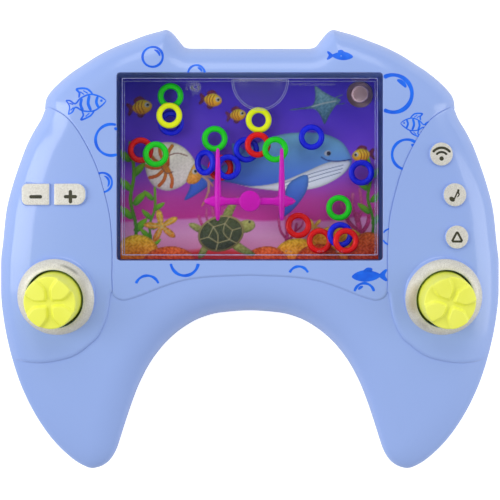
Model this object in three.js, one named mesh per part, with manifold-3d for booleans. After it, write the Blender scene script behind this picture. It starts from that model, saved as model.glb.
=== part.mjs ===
// Handheld water game: a gamepad shaped housing round a clear water tank, with two pump knobs,
// two fixed needles and loose rings. Millimetres, lying on its back: X right, Y up the face,
// Z towards the player. The origin is under the middle of the outline, on the surface it rests on.
import * as THREE from 'three';
import { mergeVertices } from 'three/addons/utils/BufferGeometryUtils.js';
import Module from 'manifold-3d';

const wasm = await Module();
wasm.setup();

// Housing: the outline at its widest level, the levels and the rounded edge
const bodyWidth = 165;
const bodyHeight = 145.4;
const partingHeight = 10;
const faceHeight = 22.4;
const wall = 1.8;
const edgeRadius = 11;
const edgeLand = 1;
const edgePower = 2.2;
const clearance = 0.3;
const overrun = 1;

// The face falls away towards both sides and down the grips
const crownStartShare = 0.485;
const crownFall = 4.5;
const gripFallStartShare = 0.206;
const gripFallBlend = 20;
const gripFallShare = 0.1;

// Half outline, as shares of half the width and half the height: the top edge with the horn and the
// small step beside the face plate, and the lower edge with the arch between the grips
const topMiddleShare = 0.913;
const topEdgeShares = [
  [0, topMiddleShare], [0.24, topMiddleShare], [0.262, 0.92], [0.281, 0.945], [0.313, 0.988], [0.333, 1],
  [0.361, 0.992], [0.41, 0.977], [0.474, 0.95], [0.538, 0.922], [0.603, 0.886], [0.667, 0.84],
  [0.715, 0.804], [0.764, 0.758], [0.796, 0.721], [0.82, 0.676], [0.824, 0.63], [0.868, 0.534],
  [0.893, 0.479], [0.921, 0.397], [0.953, 0.288], [0.977, 0.178], [0.993, 0.014], [1, -0.068],
];
const lowerEdgeShares = [
  [0, -0.28], [0.12, -0.29], [0.2, -0.315], [0.265, -0.356], [0.329, -0.416], [0.394, -0.507],
  [0.442, -0.607], [0.474, -0.699], [0.506, -0.808], [0.538, -0.918], [0.555, -0.952],
  [0.571, -0.972], [0.603, -0.993], [0.635, -1], [0.667, -0.988], [0.699, -0.967],
  [0.747, -0.922], [0.796, -0.863], [0.86, -0.758], [0.921, -0.616], [0.953, -0.507],
  [0.977, -0.397], [0.993, -0.288], [1, -0.178],
];
const hullShares = [
  0, 0.12, 0.2, 0.25, 0.281, 0.313, 0.333, 0.39, 0.43, 0.474, 0.51, 0.54, 0.575, 0.635, 0.67, 0.72,
  0.77, 0.82, 0.824, 0.87, 0.91, 0.94, 0.965, 0.988, 1,
];
const hullRows = 9;
const roomShares = [
  0, 0.2, 0.265, 0.33, 0.39, 0.45, 0.51, 0.57, 0.63, 0.7, 0.78, 0.85, 0.91, 0.96, 1,
];
const roomRows = 6;

// Face plate: its seam, from the outline beside the step to the middle of the lower edge
const seamSideShare = 0.55;
const seamMiddleShare = -0.121;
const seamShares = [
  [0.805, 0.637], [0.796, 0.633], [0.739, 0.597], [0.696, 0.546], [0.657, 0.475], [0.625, 0.403],
  [0.6, 0.331], [0.582, 0.26], [0.566, 0.187], [0.556, 0.117], [seamSideShare, -0.004], [0.551, -0.149],
  [0.544, -0.205], [0.525, -0.227], [0.499, -0.234], [0.468, -0.226], [0.424, -0.209],
  [0.361, -0.18], [0.297, -0.155], [0.234, -0.138], [0.141, -0.127], [0, seamMiddleShare],
];
const seamSteps = 30;
const seamGap = 0.3;
const tabReach = 1.6;
const tabRoot = 2.4;
const tabWidth = 7;
const tabThickness = 1.4;
const tabPlaceShares = [0.22, 0.5, 0.86];

// Water tank, and what the face plate leaves round its window
const plateSide = 2.2;
const plateAbove = 9.1;
const plateBelow = 5.35;
const tankWidth = bodyWidth * seamSideShare - 2 * plateSide;
const tankTop = bodyHeight / 2 * topMiddleShare - plateAbove;
const tankBottom = bodyHeight / 2 * seamMiddleShare + plateBelow;
const tankCorner = 0.8;
const tankWall = 1.5;
const tankDepth = 13.8;
const tankProud = 0.4;
const tankFrontHeight = faceHeight + tankProud;
const tankBackHeight = tankFrontHeight - tankDepth;
const tankPlate = 2;
const flangeReach = 1.75;
const flangeThickness = 1.6;
const cardThickness = 0.4;
const cardMargin = 0.8;

// Filler neck in the back plate, its plug and the hole for it in the rear shell
const fillerFromSide = 6.45;
const fillerFromTop = 5.7;
const fillerX = tankWidth / 2 - fillerFromSide;
const fillerY = tankTop - fillerFromTop;
const plugShankRadius = 2.8;
const plugHeadRadius = 4.4;
const plugHeadThickness = 1;
const plugEdge = 0.3;
const plugRecess = 2.6;
const neckWall = 1;
const fillerHoleGap = 0.7;

// Peg frame: a bar with two needles, on a boss of the back plate
const pegBarShare = 0.315;
const pegBarY = tankBottom + (tankTop - tankBottom) * pegBarShare;
const pegDepth = 4.8;
const pegHeight = tankFrontHeight - tankWall - pegDepth;
const pegBarWidth = 2.6;
const pegBarThickness = 2;
const pegBarLength = 30.2;
const pegLobeWidth = 4;
const pegHubRadius = 3.5;
const pegHubThickness = 2.8;
const pegStudRadius = 1.2;
const pegBossRadius = 3;
const needleSpacing = 21;
const needleRise = 17.5;
const needleDrop = 6.4;
const needleRadius = 1.25;
const needleTipRadius = 0.55;

// Rings lie singly or in heaps. A heap's first ring is placed by shares of the room that a ring's
// middle has in the tank, from the middle and from the bottom. The others follow by shares of the
// ring's outer radius. Then come the level in the heap and the tilt.
const ringRadius = 3.32;
const ringTubeRadius = 0.98;
const ringHeaps = [
  {
    placeShares: [-0.709, 0.992],
    ringShares: [['green', 0, 0, 0, 0], ['yellow', -0.08, -1.54, 1, 0], ['blue', 0.03, -2.1, 0, 0]],
  },
  {
    placeShares: [-0.977, 0.621],
    ringShares: [['red', 0, 0, 0, 0], ['green', 1.19, -0.34, 1, 0]],
  },
  {
    placeShares: [-0.031, 0.624],
    ringShares: [
      ['blue', 0, 0, 0, 0], ['red', 0.88, 0.36, 1, 0], ['green', 2.22, -0.03, 2, 0],
      ['yellow', 0.95, 2.29, 0, 0], ['green', -2.44, 0.85, 0, 0], ['red', -1.98, -1.39, 0, 0],
      ['blue', -1.39, -1.36, 1, 0], ['blue', -3.15, -1.02, 1.1, -40],
    ],
  },
  {
    placeShares: [0.553, 0.71],
    ringShares: [['blue', 0, 0, 0, 0]],
  },
  {
    placeShares: [1, 0.467],
    ringShares: [['blue', 0, 0, 0, 0]],
  },
  {
    placeShares: [0.625, 0],
    ringShares: [
      ['red', 0, 0, 0, 0], ['red', -1.63, 1.2, 0, 0], ['green', 1.5, 2.56, 0, 0],
      ['blue', 1.57, 0.47, 1, 0], ['red', 1.99, 0, 2, 0],
    ],
  },
];

// Pumps: a collar on the face with a knob in it, over a soft bellows. Their common axis leans
// outwards and down the grip.
const pumpShares = [0.774, -0.225];
const collarRise = 3.2;
const pumpLeanShares = [0.14, 0.17];
const collarRadius = 12.9;
const collarBoreRadius = 9.6;
const collarFall = 2.4;
const collarDepth = 6.4;
const knobRadius = 9.05;
const knobTopRadius = 8.65;
const knobHeight = 6.9;
const knobWall = 1.4;
const knobTopThickness = 1.5;
const knobFlangeRadius = 11;
const knobFlangeThickness = 1.1;
const knobBevel = 0.6;
const petalHeight = 1.3;
const petalGap = 0.8;
const petalFlare = 3.45;
const petalBevel = 0.85;
const knobTurns = { left: 4, right: -20 };
const bellowsRadius = 6.9;
const bellowsFold = 0.6;
const bellowsFolds = 4;
const bellowsFlangeRadius = 10.6;
const bellowsFlangeThickness = 1.2;
const bellowsSeatHeight = 4.6;
const seatWall = 2;

// Hoses from the bellows to the tank, over a spout at each end
const hoseRadius = 2.3;
const hoseBoreRadius = 1.6;
const spoutRadius = 1.3;
const spoutBoreRadius = 0.8;
const spoutLength = 5.5;
const bellowsSpoutLength = 3;
const hoseSeatHeight = 3.7;
const hoseBackHeight = 2.6;
const hoseHeight = tankBackHeight + hoseBackHeight;
const hoseFromSide = 6.65;
const hoseX = tankWidth / 2 - hoseFromSide;
const hoseStraightLength = 7;

// Small buttons, moulded on the wings
const buttonRise = 1.5;
const buttonSink = 2.5;
const buttonDraft = 0.25;
const buttonLeanShare = 0.14;
const roundButtonRadius = 3.85;
const roundButtonShares = [[0.758, 0.426], [0.812, 0.2435], [0.8206, 0.0536]];
const barButtonHeight = 7.1;
const barButtonCorner = 1.8;
const barButtonOuterWidth = 9.4;
const barButtonInnerWidth = 10.6;
const barButtonGap = 1.3;
const barButtonShares = [-0.7836, 0.2455];

// Screws from the rear, and their posts and bosses
const screwHeadRadius = 2.8;
const screwHeadThickness = 1.8;
const screwRadius = 1.3;
const screwLength = 11;
const screwRecess = 1.1;
const screwBossRadius = 4;
const screwPostRadius = 3.2;
const screwBossHeight = 7;
const screwTankGap = 0.45;
const screwTopShare = 0.376;
const screwSideShares = [0.636, 0.11];
const screwGripShares = [0.679, -0.688];

// Ribs on the rear shell under the card, as shares of half the tank's width
const ribShares = [-0.8, -0.28, 0.28, 0.64];
const ribThickness = 1.6;
const ribFromEnd = 8.4;

const roundSides = 24;
const smallSides = 12;

// Solids

function solidFrom(geometry) {
  const bare = geometry.clone();
  bare.deleteAttribute('normal');
  bare.deleteAttribute('uv');
  const merged = mergeVertices(bare);
  const index = merged.index.array;
  const corners = [];
  for (let i = 0; i < index.length; i += 3) {
    const [a, b, c] = [index[i], index[i + 1], index[i + 2]];
    if (a !== b && b !== c && c !== a) corners.push(a, b, c);
  }
  return new wasm.Manifold(new wasm.Mesh({
    numProp: 3,
    vertProperties: new Float32Array(merged.attributes.position.array),
    triVerts: new Uint32Array(corners),
  }));
}

function geometryFrom(solid) {
  const mesh = solid.getMesh();
  const geometry = new THREE.BufferGeometry();
  geometry.setAttribute('position', new THREE.BufferAttribute(mesh.vertProperties, 3));
  geometry.setIndex(new THREE.BufferAttribute(mesh.triVerts, 1));
  geometry.computeVertexNormals();
  return geometry;
}

function joined(solids) {
  return solids.reduce((whole, next) => whole.add(next));
}

function cutBy(solid, cutters) {
  return cutters.reduce((left, cutter) => left.subtract(cutter), solid);
}

// A round bar along Z from one height to another
function roundBar(radius, low, high, sides = smallSides) {
  const bar = new THREE.CylinderGeometry(radius, radius, high - low, sides);
  bar.rotateX(Math.PI / 2);
  bar.translate(0, 0, (low + high) / 2);
  return bar;
}

function roundBarAt(x, y, radius, low, high, sides) {
  return solidFrom(roundBar(radius, low, high, sides).translate(x, y, 0));
}

function box(width, depth, low, high) {
  const block = new THREE.BoxGeometry(width, depth, high - low);
  block.translate(0, 0, (low + high) / 2);
  return block;
}

function prism(points, low, high) {
  const shape = new THREE.Shape(points);
  const block = new THREE.ExtrudeGeometry(shape, { depth: high - low, bevelEnabled: false });
  block.translate(0, 0, low);
  return block;
}

function turned(profile, sides = roundSides) {
  const points = profile.map(([radius, height]) => new THREE.Vector2(radius, height));
  return new THREE.LatheGeometry(points, sides).rotateX(Math.PI / 2);
}

function roundedRectangle(left, right, bottom, top, corner, steps = 3) {
  const points = [];
  const middles = [
    [right - corner, top - corner], [left + corner, top - corner],
    [left + corner, bottom + corner], [right - corner, bottom + corner],
  ];
  middles.forEach(([x, y], quarter) => {
    for (let i = 0; i <= steps; i += 1) {
      const angle = (quarter + i / steps) * Math.PI / 2;
      points.push(new THREE.Vector2(x + corner * Math.cos(angle), y + corner * Math.sin(angle)));
    }
  });
  return points;
}

// Housing outline

// A smooth curve through points that never swings past them, followed by the angle whose sine is the
// x share, so that it may stand upright at the widest place
function edgeShare(shares, share) {
  const angles = shares.map(([x]) => Math.asin(x));
  const heights = shares.map(([, y]) => y);
  const angle = Math.asin(Math.min(1, share));
  let k = angles.findIndex((a) => a >= angle);
  k = Math.max(1, k);
  const rise = (i) => (heights[i + 1] - heights[i]) / (angles[i + 1] - angles[i]);
  const slope = (i) => {
    if (i === 0) return 0;
    if (i === angles.length - 1) return rise(i - 1);
    const [before, after] = [rise(i - 1), rise(i)];
    return before * after <= 0 ? 0 : 2 * before * after / (before + after);
  };
  const width = angles[k] - angles[k - 1];
  const t = (angle - angles[k - 1]) / width;
  return heights[k - 1] * (1 + 2 * t) * (1 - t) ** 2 + heights[k] * t * t * (3 - 2 * t)
    + width * (slope(k - 1) * t * (1 - t) ** 2 + slope(k) * t * t * (t - 1));
}

// A place given as shares of half the width and half the height
function placeOf([xShare, yShare]) {
  return [xShare * bodyWidth / 2, yShare * bodyHeight / 2];
}

function columnAt(share) {
  return {
    x: share * bodyWidth / 2,
    low: edgeShare(lowerEdgeShares, Math.abs(share)) * bodyHeight / 2,
    high: edgeShare(topEdgeShares, Math.abs(share)) * bodyHeight / 2,
  };
}

function bothWays(shares) {
  return [...shares.slice(1).reverse().map((share) => -share), ...shares];
}

const outlineColumns = bothWays(hullShares).map(columnAt);
const outline = [
  ...outlineColumns.map(({ x, low }) => [x, low]),
  ...outlineColumns.map(({ x, high }) => [x, high]).reverse(),
];

function edgeDistance(x, y) {
  let least = Infinity;
  outline.forEach(([ax, ay], i) => {
    const [bx, by] = outline[(i + 1) % outline.length];
    const [dx, dy] = [bx - ax, by - ay];
    const along = ((x - ax) * dx + (y - ay) * dy) / (dx * dx + dy * dy);
    const t = Math.min(1, Math.max(0, along));
    least = Math.min(least, Math.hypot(x - ax - t * dx, y - ay - t * dy));
  });
  return least;
}

// The columns of the outline, drawn in all round by a wall
function insetColumns(inset) {
  const halfWidth = bodyWidth / 2;
  const reach = (halfWidth - inset) / halfWidth;
  return bothWays(roomShares).map((share) => {
    const { x, low, high } = columnAt(share * reach);
    const middle = middleOf(x, low, high);
    return { x, low: edgeOfInset(x, low, middle, inset), high: edgeOfInset(x, high, middle, inset) };
  });
}

// The height in a column that lies furthest from the outline
function middleOf(x, low, high) {
  const steps = 24;
  let best = [(low + high) / 2, 0];
  for (let i = 1; i < steps; i += 1) {
    const y = low + (high - low) * i / steps;
    const distance = edgeDistance(x, y);
    if (distance > best[1]) best = [y, distance];
  }
  return best[0];
}

function edgeOfInset(x, edge, middle, inset) {
  let [outside, inside] = [edge, middle];
  const halvings = 18;
  for (let i = 0; i < halvings; i += 1) {
    const y = (outside + inside) / 2;
    if (edgeDistance(x, y) < inset) outside = y;
    else inside = y;
  }
  return inside;
}

// Housing surfaces

function edgeRound(distance) {
  const left = 1 - Math.min(1, Math.max(0, distance / edgeRadius));
  return (1 - left ** edgePower) ** (1 / edgePower);
}

function plateauHeight(x, y) {
  const outward = Math.max(0, Math.abs(x) * 2 / bodyWidth - crownStartShare) / (1 - crownStartShare);
  const down = Math.max(0, gripFallStartShare * bodyHeight / 2 - y);
  const fall = gripFallShare * (Math.hypot(down, gripFallBlend) - gripFallBlend);
  return faceHeight - crownFall * outward ** 2 - fall;
}

function frontSurface(x, y, distance) {
  const start = partingHeight + edgeLand;
  return start + (plateauHeight(x, y) - start) * edgeRound(distance);
}

function rearSurface(distance) {
  return (partingHeight - edgeLand) * (1 - edgeRound(distance));
}

function frontInside(x, y) {
  return frontSurface(x, y, edgeDistance(x, y) - wall) - wall;
}

// A solid between two surfaces over the columns of an outline
function columnSolid(columns, rowCount, lowSurface, highSurface) {
  const positions = [];
  const faces = [];
  const stride = rowCount + 1;
  const levelCount = columns.length * stride;
  for (const surface of [highSurface, lowSurface]) {
    for (const { x, low, high } of columns) {
      for (let j = 0; j <= rowCount; j += 1) {
        const share = (1 - Math.cos(Math.PI * j / rowCount)) / 2;
        const y = low + (high - low) * share;
        positions.push(x, y, surface(x, y));
      }
    }
  }
  const quad = (a, b, c, d) => faces.push(a, b, c, a, c, d);
  const top = (i, j) => i * stride + j;
  const bottom = (i, j) => levelCount + top(i, j);
  const last = columns.length - 1;
  for (let i = 0; i < last; i += 1) {
    for (let j = 0; j < rowCount; j += 1) {
      quad(top(i, j), top(i + 1, j), top(i + 1, j + 1), top(i, j + 1));
      quad(bottom(i, j), bottom(i, j + 1), bottom(i + 1, j + 1), bottom(i + 1, j));
    }
    quad(bottom(i, 0), bottom(i + 1, 0), top(i + 1, 0), top(i, 0));
    quad(bottom(i + 1, rowCount), bottom(i, rowCount), top(i, rowCount), top(i + 1, rowCount));
  }
  for (let j = 0; j < rowCount; j += 1) {
    quad(bottom(0, j + 1), bottom(0, j), top(0, j), top(0, j + 1));
    quad(bottom(last, j), bottom(last, j + 1), top(last, j + 1), top(last, j));
  }
  const geometry = new THREE.BufferGeometry();
  geometry.setAttribute('position', new THREE.Float32BufferAttribute(positions, 3));
  geometry.setIndex(faces);
  return solidFrom(geometry);
}

const frontStart = partingHeight + clearance / 2;
const rearEnd = partingHeight - clearance / 2;
const wallColumns = insetColumns(wall);
const frontHull = columnSolid(
  outlineColumns,
  hullRows,
  () => frontStart,
  (x, y) => frontSurface(x, y, edgeDistance(x, y)),
);
const frontRoom = columnSolid(wallColumns, roomRows, () => frontStart - overrun, frontInside);
const rearHull = columnSolid(
  outlineColumns,
  hullRows,
  (x, y) => rearSurface(edgeDistance(x, y)),
  () => rearEnd,
);
const rearRoom = columnSolid(
  wallColumns,
  roomRows,
  (x, y) => rearSurface(edgeDistance(x, y) - wall) + wall,
  () => rearEnd + overrun,
);

// The left half of the face plate's seam
const seamCurve = new THREE.SplineCurve(seamShares.map(
  ([x, y]) => new THREE.Vector2(-x * bodyWidth / 2, y * bodyHeight / 2),
));

// The area of the face plate seen from the front, grown outwards across its seam
function plateOutline(growth) {
  const seam = seamCurve.getSpacedPoints(seamSteps);
  const left = seam.map((point, i) => {
    const atEnd = i === 0 || i === seamSteps;
    const along = seam[Math.min(seamSteps, i + 1)].clone().sub(seam[Math.max(0, i - 1)]).normalize();
    const outwards = atEnd ? new THREE.Vector2(0, -1) : new THREE.Vector2(along.y, -along.x);
    return point.clone().addScaledVector(outwards, growth);
  });
  const right = left.slice(0, -1).reverse().map(({ x, y }) => new THREE.Vector2(-x, y));
  const side = bodyWidth / 2;
  const shoulder = left[0].y;
  return [
    new THREE.Vector2(-side, shoulder), ...left, ...right, new THREE.Vector2(side, shoulder),
    new THREE.Vector2(side, bodyHeight), new THREE.Vector2(-side, bodyHeight),
  ];
}

function plateArea(growth) {
  return solidFrom(prism(plateOutline(growth), 0, faceHeight + overrun));
}

// A tab of the front shell that carries the face plate's edge, at a share of the way along the seam
function plateTab(side, share) {
  const point = seamCurve.getPointAt(share);
  const along = seamCurve.getTangentAt(share);
  const turn = Math.atan2(-along.x, along.y);
  const frame = new THREE.Matrix4().makeRotationZ(turn).setPosition(point.x, point.y, 0);
  const insideAt = (across, alongSeam) => {
    const { x, y } = new THREE.Vector3(across, alongSeam, 0).applyMatrix4(frame);
    return frontInside(x, y);
  };
  const corners = [-tabReach, tabRoot].flatMap((across) => [-tabWidth / 2, 0, tabWidth / 2].map(
    (alongSeam) => insideAt(across, alongSeam),
  ));
  const top = Math.min(...corners) - clearance;
  const tongue = box(tabReach + tabRoot, tabWidth, top - tabThickness, top);
  tongue.translate((tabRoot - tabReach) / 2, 0, 0);
  const rootTop = insideAt(tabRoot / 2, 0) + wall / 2;
  const root = box(tabRoot - seamGap * 2, tabWidth / 2, top - tabThickness / 2, rootTop);
  root.translate(seamGap + tabRoot / 2, 0, 0);
  const mirror = new THREE.Matrix4().makeScale(-side, 1, 1);
  return solidFrom(tongue).add(solidFrom(root)).transform(mirror.multiply(frame).elements);
}

// Pump frame: its origin is in the middle of the collar's inner edge, its Z along the knob's travel

const [pumpX, pumpY] = placeOf(pumpShares);
const collarTopHeight = plateauHeight(pumpX, pumpY) + collarRise;
const [leanX, leanY] = pumpLeanShares;
const bellowsDepth = (collarTopHeight - bellowsSeatHeight) * Math.hypot(leanX, leanY, 1);
const hoseDepth = bellowsDepth - hoseSeatHeight;

function pumpMatrix(side) {
  const axis = new THREE.Vector3(side * leanX, -leanY, 1).normalize();
  const turn = new THREE.Quaternion().setFromUnitVectors(new THREE.Vector3(0, 0, 1), axis);
  const place = new THREE.Vector3(side * pumpX, pumpY, collarTopHeight);
  return new THREE.Matrix4().compose(place, turn, new THREE.Vector3(1, 1, 1));
}

// The collar's top is a dome round the bore: it falls with the square of the way outwards
function collar(side) {
  const steps = 3;
  const dome = Array.from({ length: steps + 1 }, (_, i) => {
    const share = 1 - i / steps;
    return [collarBoreRadius + (collarRadius - collarBoreRadius) * share, -collarFall * share ** 2];
  });
  const ring = turned([
    [collarBoreRadius, -collarDepth], [collarRadius, -collarDepth], ...dome,
    [collarBoreRadius, -collarDepth],
  ]);
  return solidFrom(ring.applyMatrix4(pumpMatrix(side)));
}

function collarCut(side) {
  const radius = (collarRadius + collarBoreRadius) / 2;
  const bar = roundBar(radius, -collarDepth - overrun, collarDepth, roundSides);
  return solidFrom(bar.applyMatrix4(pumpMatrix(side)));
}

// Small buttons on the wings

function wingMatrix(x, y) {
  const lean = Math.sign(x) * buttonLeanShare;
  const turn = new THREE.Quaternion().setFromUnitVectors(
    new THREE.Vector3(0, 0, 1),
    new THREE.Vector3(lean, 0, 1).normalize(),
  );
  const place = new THREE.Vector3(x, y, plateauHeight(x, y) + buttonRise);
  return new THREE.Matrix4().compose(place, turn, new THREE.Vector3(1, 1, 1));
}

function roundButton(shares) {
  const [x, y] = placeOf(shares);
  const depth = buttonRise + buttonSink;
  const stub = new THREE.CylinderGeometry(
    roundButtonRadius, roundButtonRadius + buttonDraft, depth, roundSides,
  );
  stub.rotateX(Math.PI / 2).translate(0, 0, -depth / 2);
  return solidFrom(stub.applyMatrix4(wingMatrix(x, y)));
}

// A bar button on one side of the gap between the two, which is placed by its middle
function barButton(side, width) {
  const [gapX, y] = placeOf(barButtonShares);
  const x = gapX + side * (barButtonGap + width) / 2;
  const half = barButtonHeight / 2;
  const points = roundedRectangle(-width / 2, width / 2, -half, half, barButtonCorner);
  const block = prism(points, -buttonRise - buttonSink, 0);
  return solidFrom(block.applyMatrix4(wingMatrix(x, y)));
}

// Screws, posts and bosses

const screwFloor = screwRecess + screwHeadThickness + clearance;

function screwPost(x, y) {
  return roundBarAt(x, y, screwPostRadius, screwBossHeight + clearance, frontInside(x, y) + wall / 2);
}

function screwPilot(x, y) {
  const end = screwFloor + screwLength;
  return roundBarAt(x, y, screwRadius + clearance, screwBossHeight - overrun, end + clearance);
}

function screwBoss(x, y) {
  return roundBarAt(x, y, screwBossRadius, 0, screwBossHeight);
}

function screwWay(x, y) {
  return joined([
    roundBarAt(x, y, screwHeadRadius + clearance, -overrun, screwFloor),
    roundBarAt(x, y, screwRadius + clearance, -overrun, screwBossHeight + overrun),
  ]);
}

function screw() {
  const top = screwRecess + screwHeadThickness;
  const end = screwFloor + screwLength;
  const slot = screwHeadThickness / 2;
  const body = solidFrom(turned([
    [0, screwRecess], [screwHeadRadius * 0.7, screwRecess], [screwHeadRadius, screwRecess + slot],
    [screwHeadRadius, top], [screwRadius, top], [screwRadius, end - screwRadius * 2], [0, end],
  ], smallSides));
  const arm = screwHeadRadius * 1.1;
  const width = screwHeadRadius / 4;
  const cross = solidFrom(box(arm, width, 0, screwRecess + slot));
  const crossTurned = solidFrom(box(width, arm, 0, screwRecess + slot));
  return geometryFrom(cutBy(body, [cross, crossTurned]));
}

const screwPlaces = {
  top: [
    screwTopShare * bodyWidth / 2,
    tankTop + flangeReach + screwTankGap + screwBossRadius,
  ],
  side: placeOf(screwSideShares),
  grip: placeOf(screwGripShares),
};
const bothSides = [-1, 1];
const topScrews = bothSides.map((side) => [side * screwPlaces.top[0], screwPlaces.top[1]]);
const otherScrews = [screwPlaces.side, screwPlaces.grip].flatMap(
  ([x, y]) => bothSides.map((side) => [side * x, y]),
);

// Housing pieces

function centreBezel() {
  const skin = frontHull.subtract(frontRoom).intersect(plateArea(0));
  const posts = joined(topScrews.map(([x, y]) => screwPost(x, y)));
  const window = prism(
    roundedRectangle(
      -tankWidth / 2 - clearance, tankWidth / 2 + clearance,
      tankBottom - clearance, tankTop + clearance, tankCorner,
    ),
    0,
    faceHeight + overrun,
  );
  const body = skin.add(posts.intersect(frontHullDown));
  return cutBy(body, [solidFrom(window), ...topScrews.map(([x, y]) => screwPilot(x, y))]);
}

// The front hull reaching down to the screw bosses, to trim the posts by
const frontHullDown = columnSolid(
  wallColumns,
  roomRows,
  () => 0,
  (x, y) => frontSurface(x, y, edgeDistance(x, y)) - wall / 4,
);

function frontShell() {
  const skin = frontHull.subtract(frontRoom).subtract(plateArea(seamGap));
  const tabs = bothSides.flatMap((side) => tabPlaceShares.map((share) => plateTab(side, share)));
  const posts = joined(otherScrews.map(([x, y]) => screwPost(x, y))).intersect(frontHullDown);
  const buttons = [
    ...roundButtonShares.map(roundButton),
    barButton(-1, barButtonOuterWidth),
    barButton(1, barButtonInnerWidth),
  ];
  const shell = cutBy(joined([skin, posts, ...tabs, ...buttons]), [
    ...bothSides.map(collarCut),
    ...otherScrews.map(([x, y]) => screwPilot(x, y)),
  ]);
  return joined([shell, ...bothSides.map(collar)]);
}

function pumpSeat(side) {
  const inner = bellowsFlangeRadius - seatWall;
  const top = -bellowsDepth - clearance;
  const low = -collarTopHeight - bellowsFlangeRadius;
  const ring = turned([
    [inner, low], [bellowsFlangeRadius, low], [bellowsFlangeRadius, top], [inner, top], [inner, low],
  ]);
  return solidFrom(ring.applyMatrix4(pumpMatrix(side)));
}

const cardBack = tankBackHeight - tankPlate - clearance - cardThickness;
const ribTop = cardBack - clearance;

function rearShell() {
  const skin = rearHull.subtract(rearRoom);
  const places = [...topScrews, ...otherScrews];
  const ribY = (tankBottom + tankTop) / 2;
  const ribLength = tankTop - tankBottom - 2 * ribFromEnd;
  const ribs = ribShares.map((share) => solidFrom(
    box(ribThickness, ribLength, 0, ribTop).translate(share * tankWidth / 2, ribY, 0),
  ));
  const inside = joined([
    ...ribs,
    ...bothSides.map(pumpSeat),
    ...places.map(([x, y]) => screwBoss(x, y)),
  ]).intersect(rearHull);
  const holeRadius = plugHeadRadius + fillerHoleGap;
  const fillerHole = roundBarAt(fillerX, fillerY, holeRadius, -overrun, partingHeight, roundSides);
  return cutBy(skin.add(inside), [...places.map(([x, y]) => screwWay(x, y)), fillerHole]);
}

// Tank pieces

function tankBlock(growth, low, high) {
  const half = tankWidth / 2 + growth;
  return solidFrom(prism(
    roundedRectangle(-half, half, tankBottom - growth, tankTop + growth, tankCorner),
    low,
    high,
  ));
}

function spoutBar(side, radius, low, high) {
  const bar = roundBar(radius, low, high);
  bar.rotateX(-Math.PI / 2);
  return solidFrom(bar.translate(side * hoseX, 0, hoseHeight));
}

function tankFront() {
  const shell = tankBlock(0, tankBackHeight, tankFrontHeight)
    .add(tankBlock(flangeReach, tankBackHeight, tankBackHeight + flangeThickness))
    .subtract(tankBlock(-tankWall, tankBackHeight - overrun, tankFrontHeight - tankWall));
  const spouts = bothSides.map(
    (side) => spoutBar(side, spoutRadius, tankBottom - spoutLength, tankBottom + tankWall / 2),
  );
  const boreEnd = tankBottom - spoutLength - overrun;
  const bores = bothSides.map(
    (side) => spoutBar(side, spoutBoreRadius, boreEnd, tankBottom + tankWall * 2),
  );
  return cutBy(joined([shell, ...spouts]), bores);
}

function tankBack() {
  const low = tankBackHeight - tankPlate;
  const plate = tankBlock(flangeReach, low, tankBackHeight);
  const boreRadius = plugShankRadius + clearance;
  const neckEnd = plugRecess + plugHeadThickness + clearance;
  const neck = roundBarAt(fillerX, fillerY, boreRadius + neckWall, neckEnd, tankBackHeight, roundSides);
  const bore = roundBarAt(
    fillerX, fillerY, boreRadius, neckEnd - overrun, tankBackHeight + overrun, roundSides,
  );
  const boss = roundBarAt(0, pegBarY, pegBossRadius, low, pegHeight - clearance);
  const stud = roundBarAt(0, pegBarY, pegStudRadius, low, pegHeight + pegHubThickness / 2);
  return joined([plate, neck, boss, stud]).subtract(bore);
}

function pictureCard() {
  const half = tankWidth / 2 - cardMargin;
  const card = solidFrom(prism(
    roundedRectangle(-half, half, tankBottom + cardMargin, tankTop - cardMargin, tankCorner),
    cardBack,
    cardBack + cardThickness,
  ));
  const holeRadius = plugShankRadius + clearance + neckWall + clearance;
  const hole = roundBarAt(fillerX, fillerY, holeRadius, 0, tankBackHeight, roundSides);
  return card.subtract(hole);
}

function fillerPlug() {
  const shoulder = plugRecess + plugHeadThickness;
  return turned([
    [0, plugRecess], [plugHeadRadius - plugEdge, plugRecess],
    [plugHeadRadius, plugRecess + plugEdge],
    [plugHeadRadius, shoulder], [plugShankRadius, shoulder],
    [plugShankRadius, tankBackHeight - plugEdge],
    [plugShankRadius - plugEdge, tankBackHeight], [0, tankBackHeight],
  ]).translate(fillerX, fillerY, 0);
}

function pegFrame() {
  const half = pegBarLength / 2;
  const lobe = pegLobeWidth / 2;
  const bar = pegBarWidth / 2;
  const needleX = needleSpacing / 2;
  const upper = [
    [half, 0], [half - lobe, lobe / 2], [needleX + needleRadius * 1.5, lobe], [needleX, bar * 1.2],
    [needleX - needleRadius * 3, bar / 1.2], [0, bar],
  ];
  const mirrored = upper.slice(0, -1).reverse().map(([x, y]) => [-x, y]);
  const top = [...upper, ...mirrored];
  const points = [...top, ...top.slice(1, -1).reverse().map(([x, y]) => [x, -y])];
  const web = solidFrom(prism(
    points.map(([x, y]) => new THREE.Vector2(x, y)), 0, pegBarThickness,
  ));
  const hub = solidFrom(roundBar(pegHubRadius, 0, pegHubThickness, roundSides));
  const needles = bothSides.map((side) => {
    const needle = turned([
      [0, -needleDrop], [needleTipRadius, needleTipRadius - needleDrop], [needleRadius, 0],
      [needleTipRadius, needleRise - needleTipRadius * 3], [0, needleRise],
    ], smallSides / 2).rotateX(-Math.PI / 2);
    return solidFrom(needle.translate(side * needleX, 0, pegBarThickness / 2));
  });
  const hole = solidFrom(roundBar(pegStudRadius + clearance, -overrun, pegHubThickness / 2 + clearance));
  const frame = joined([web, hub, ...needles]).subtract(hole);
  return geometryFrom(frame).translate(0, pegBarY, pegHeight);
}

function ring() {
  const around = 12;
  const across = 5;
  return new THREE.TorusGeometry(ringRadius, ringTubeRadius, across, around);
}

// Pump pieces, in the pump frame

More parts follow.
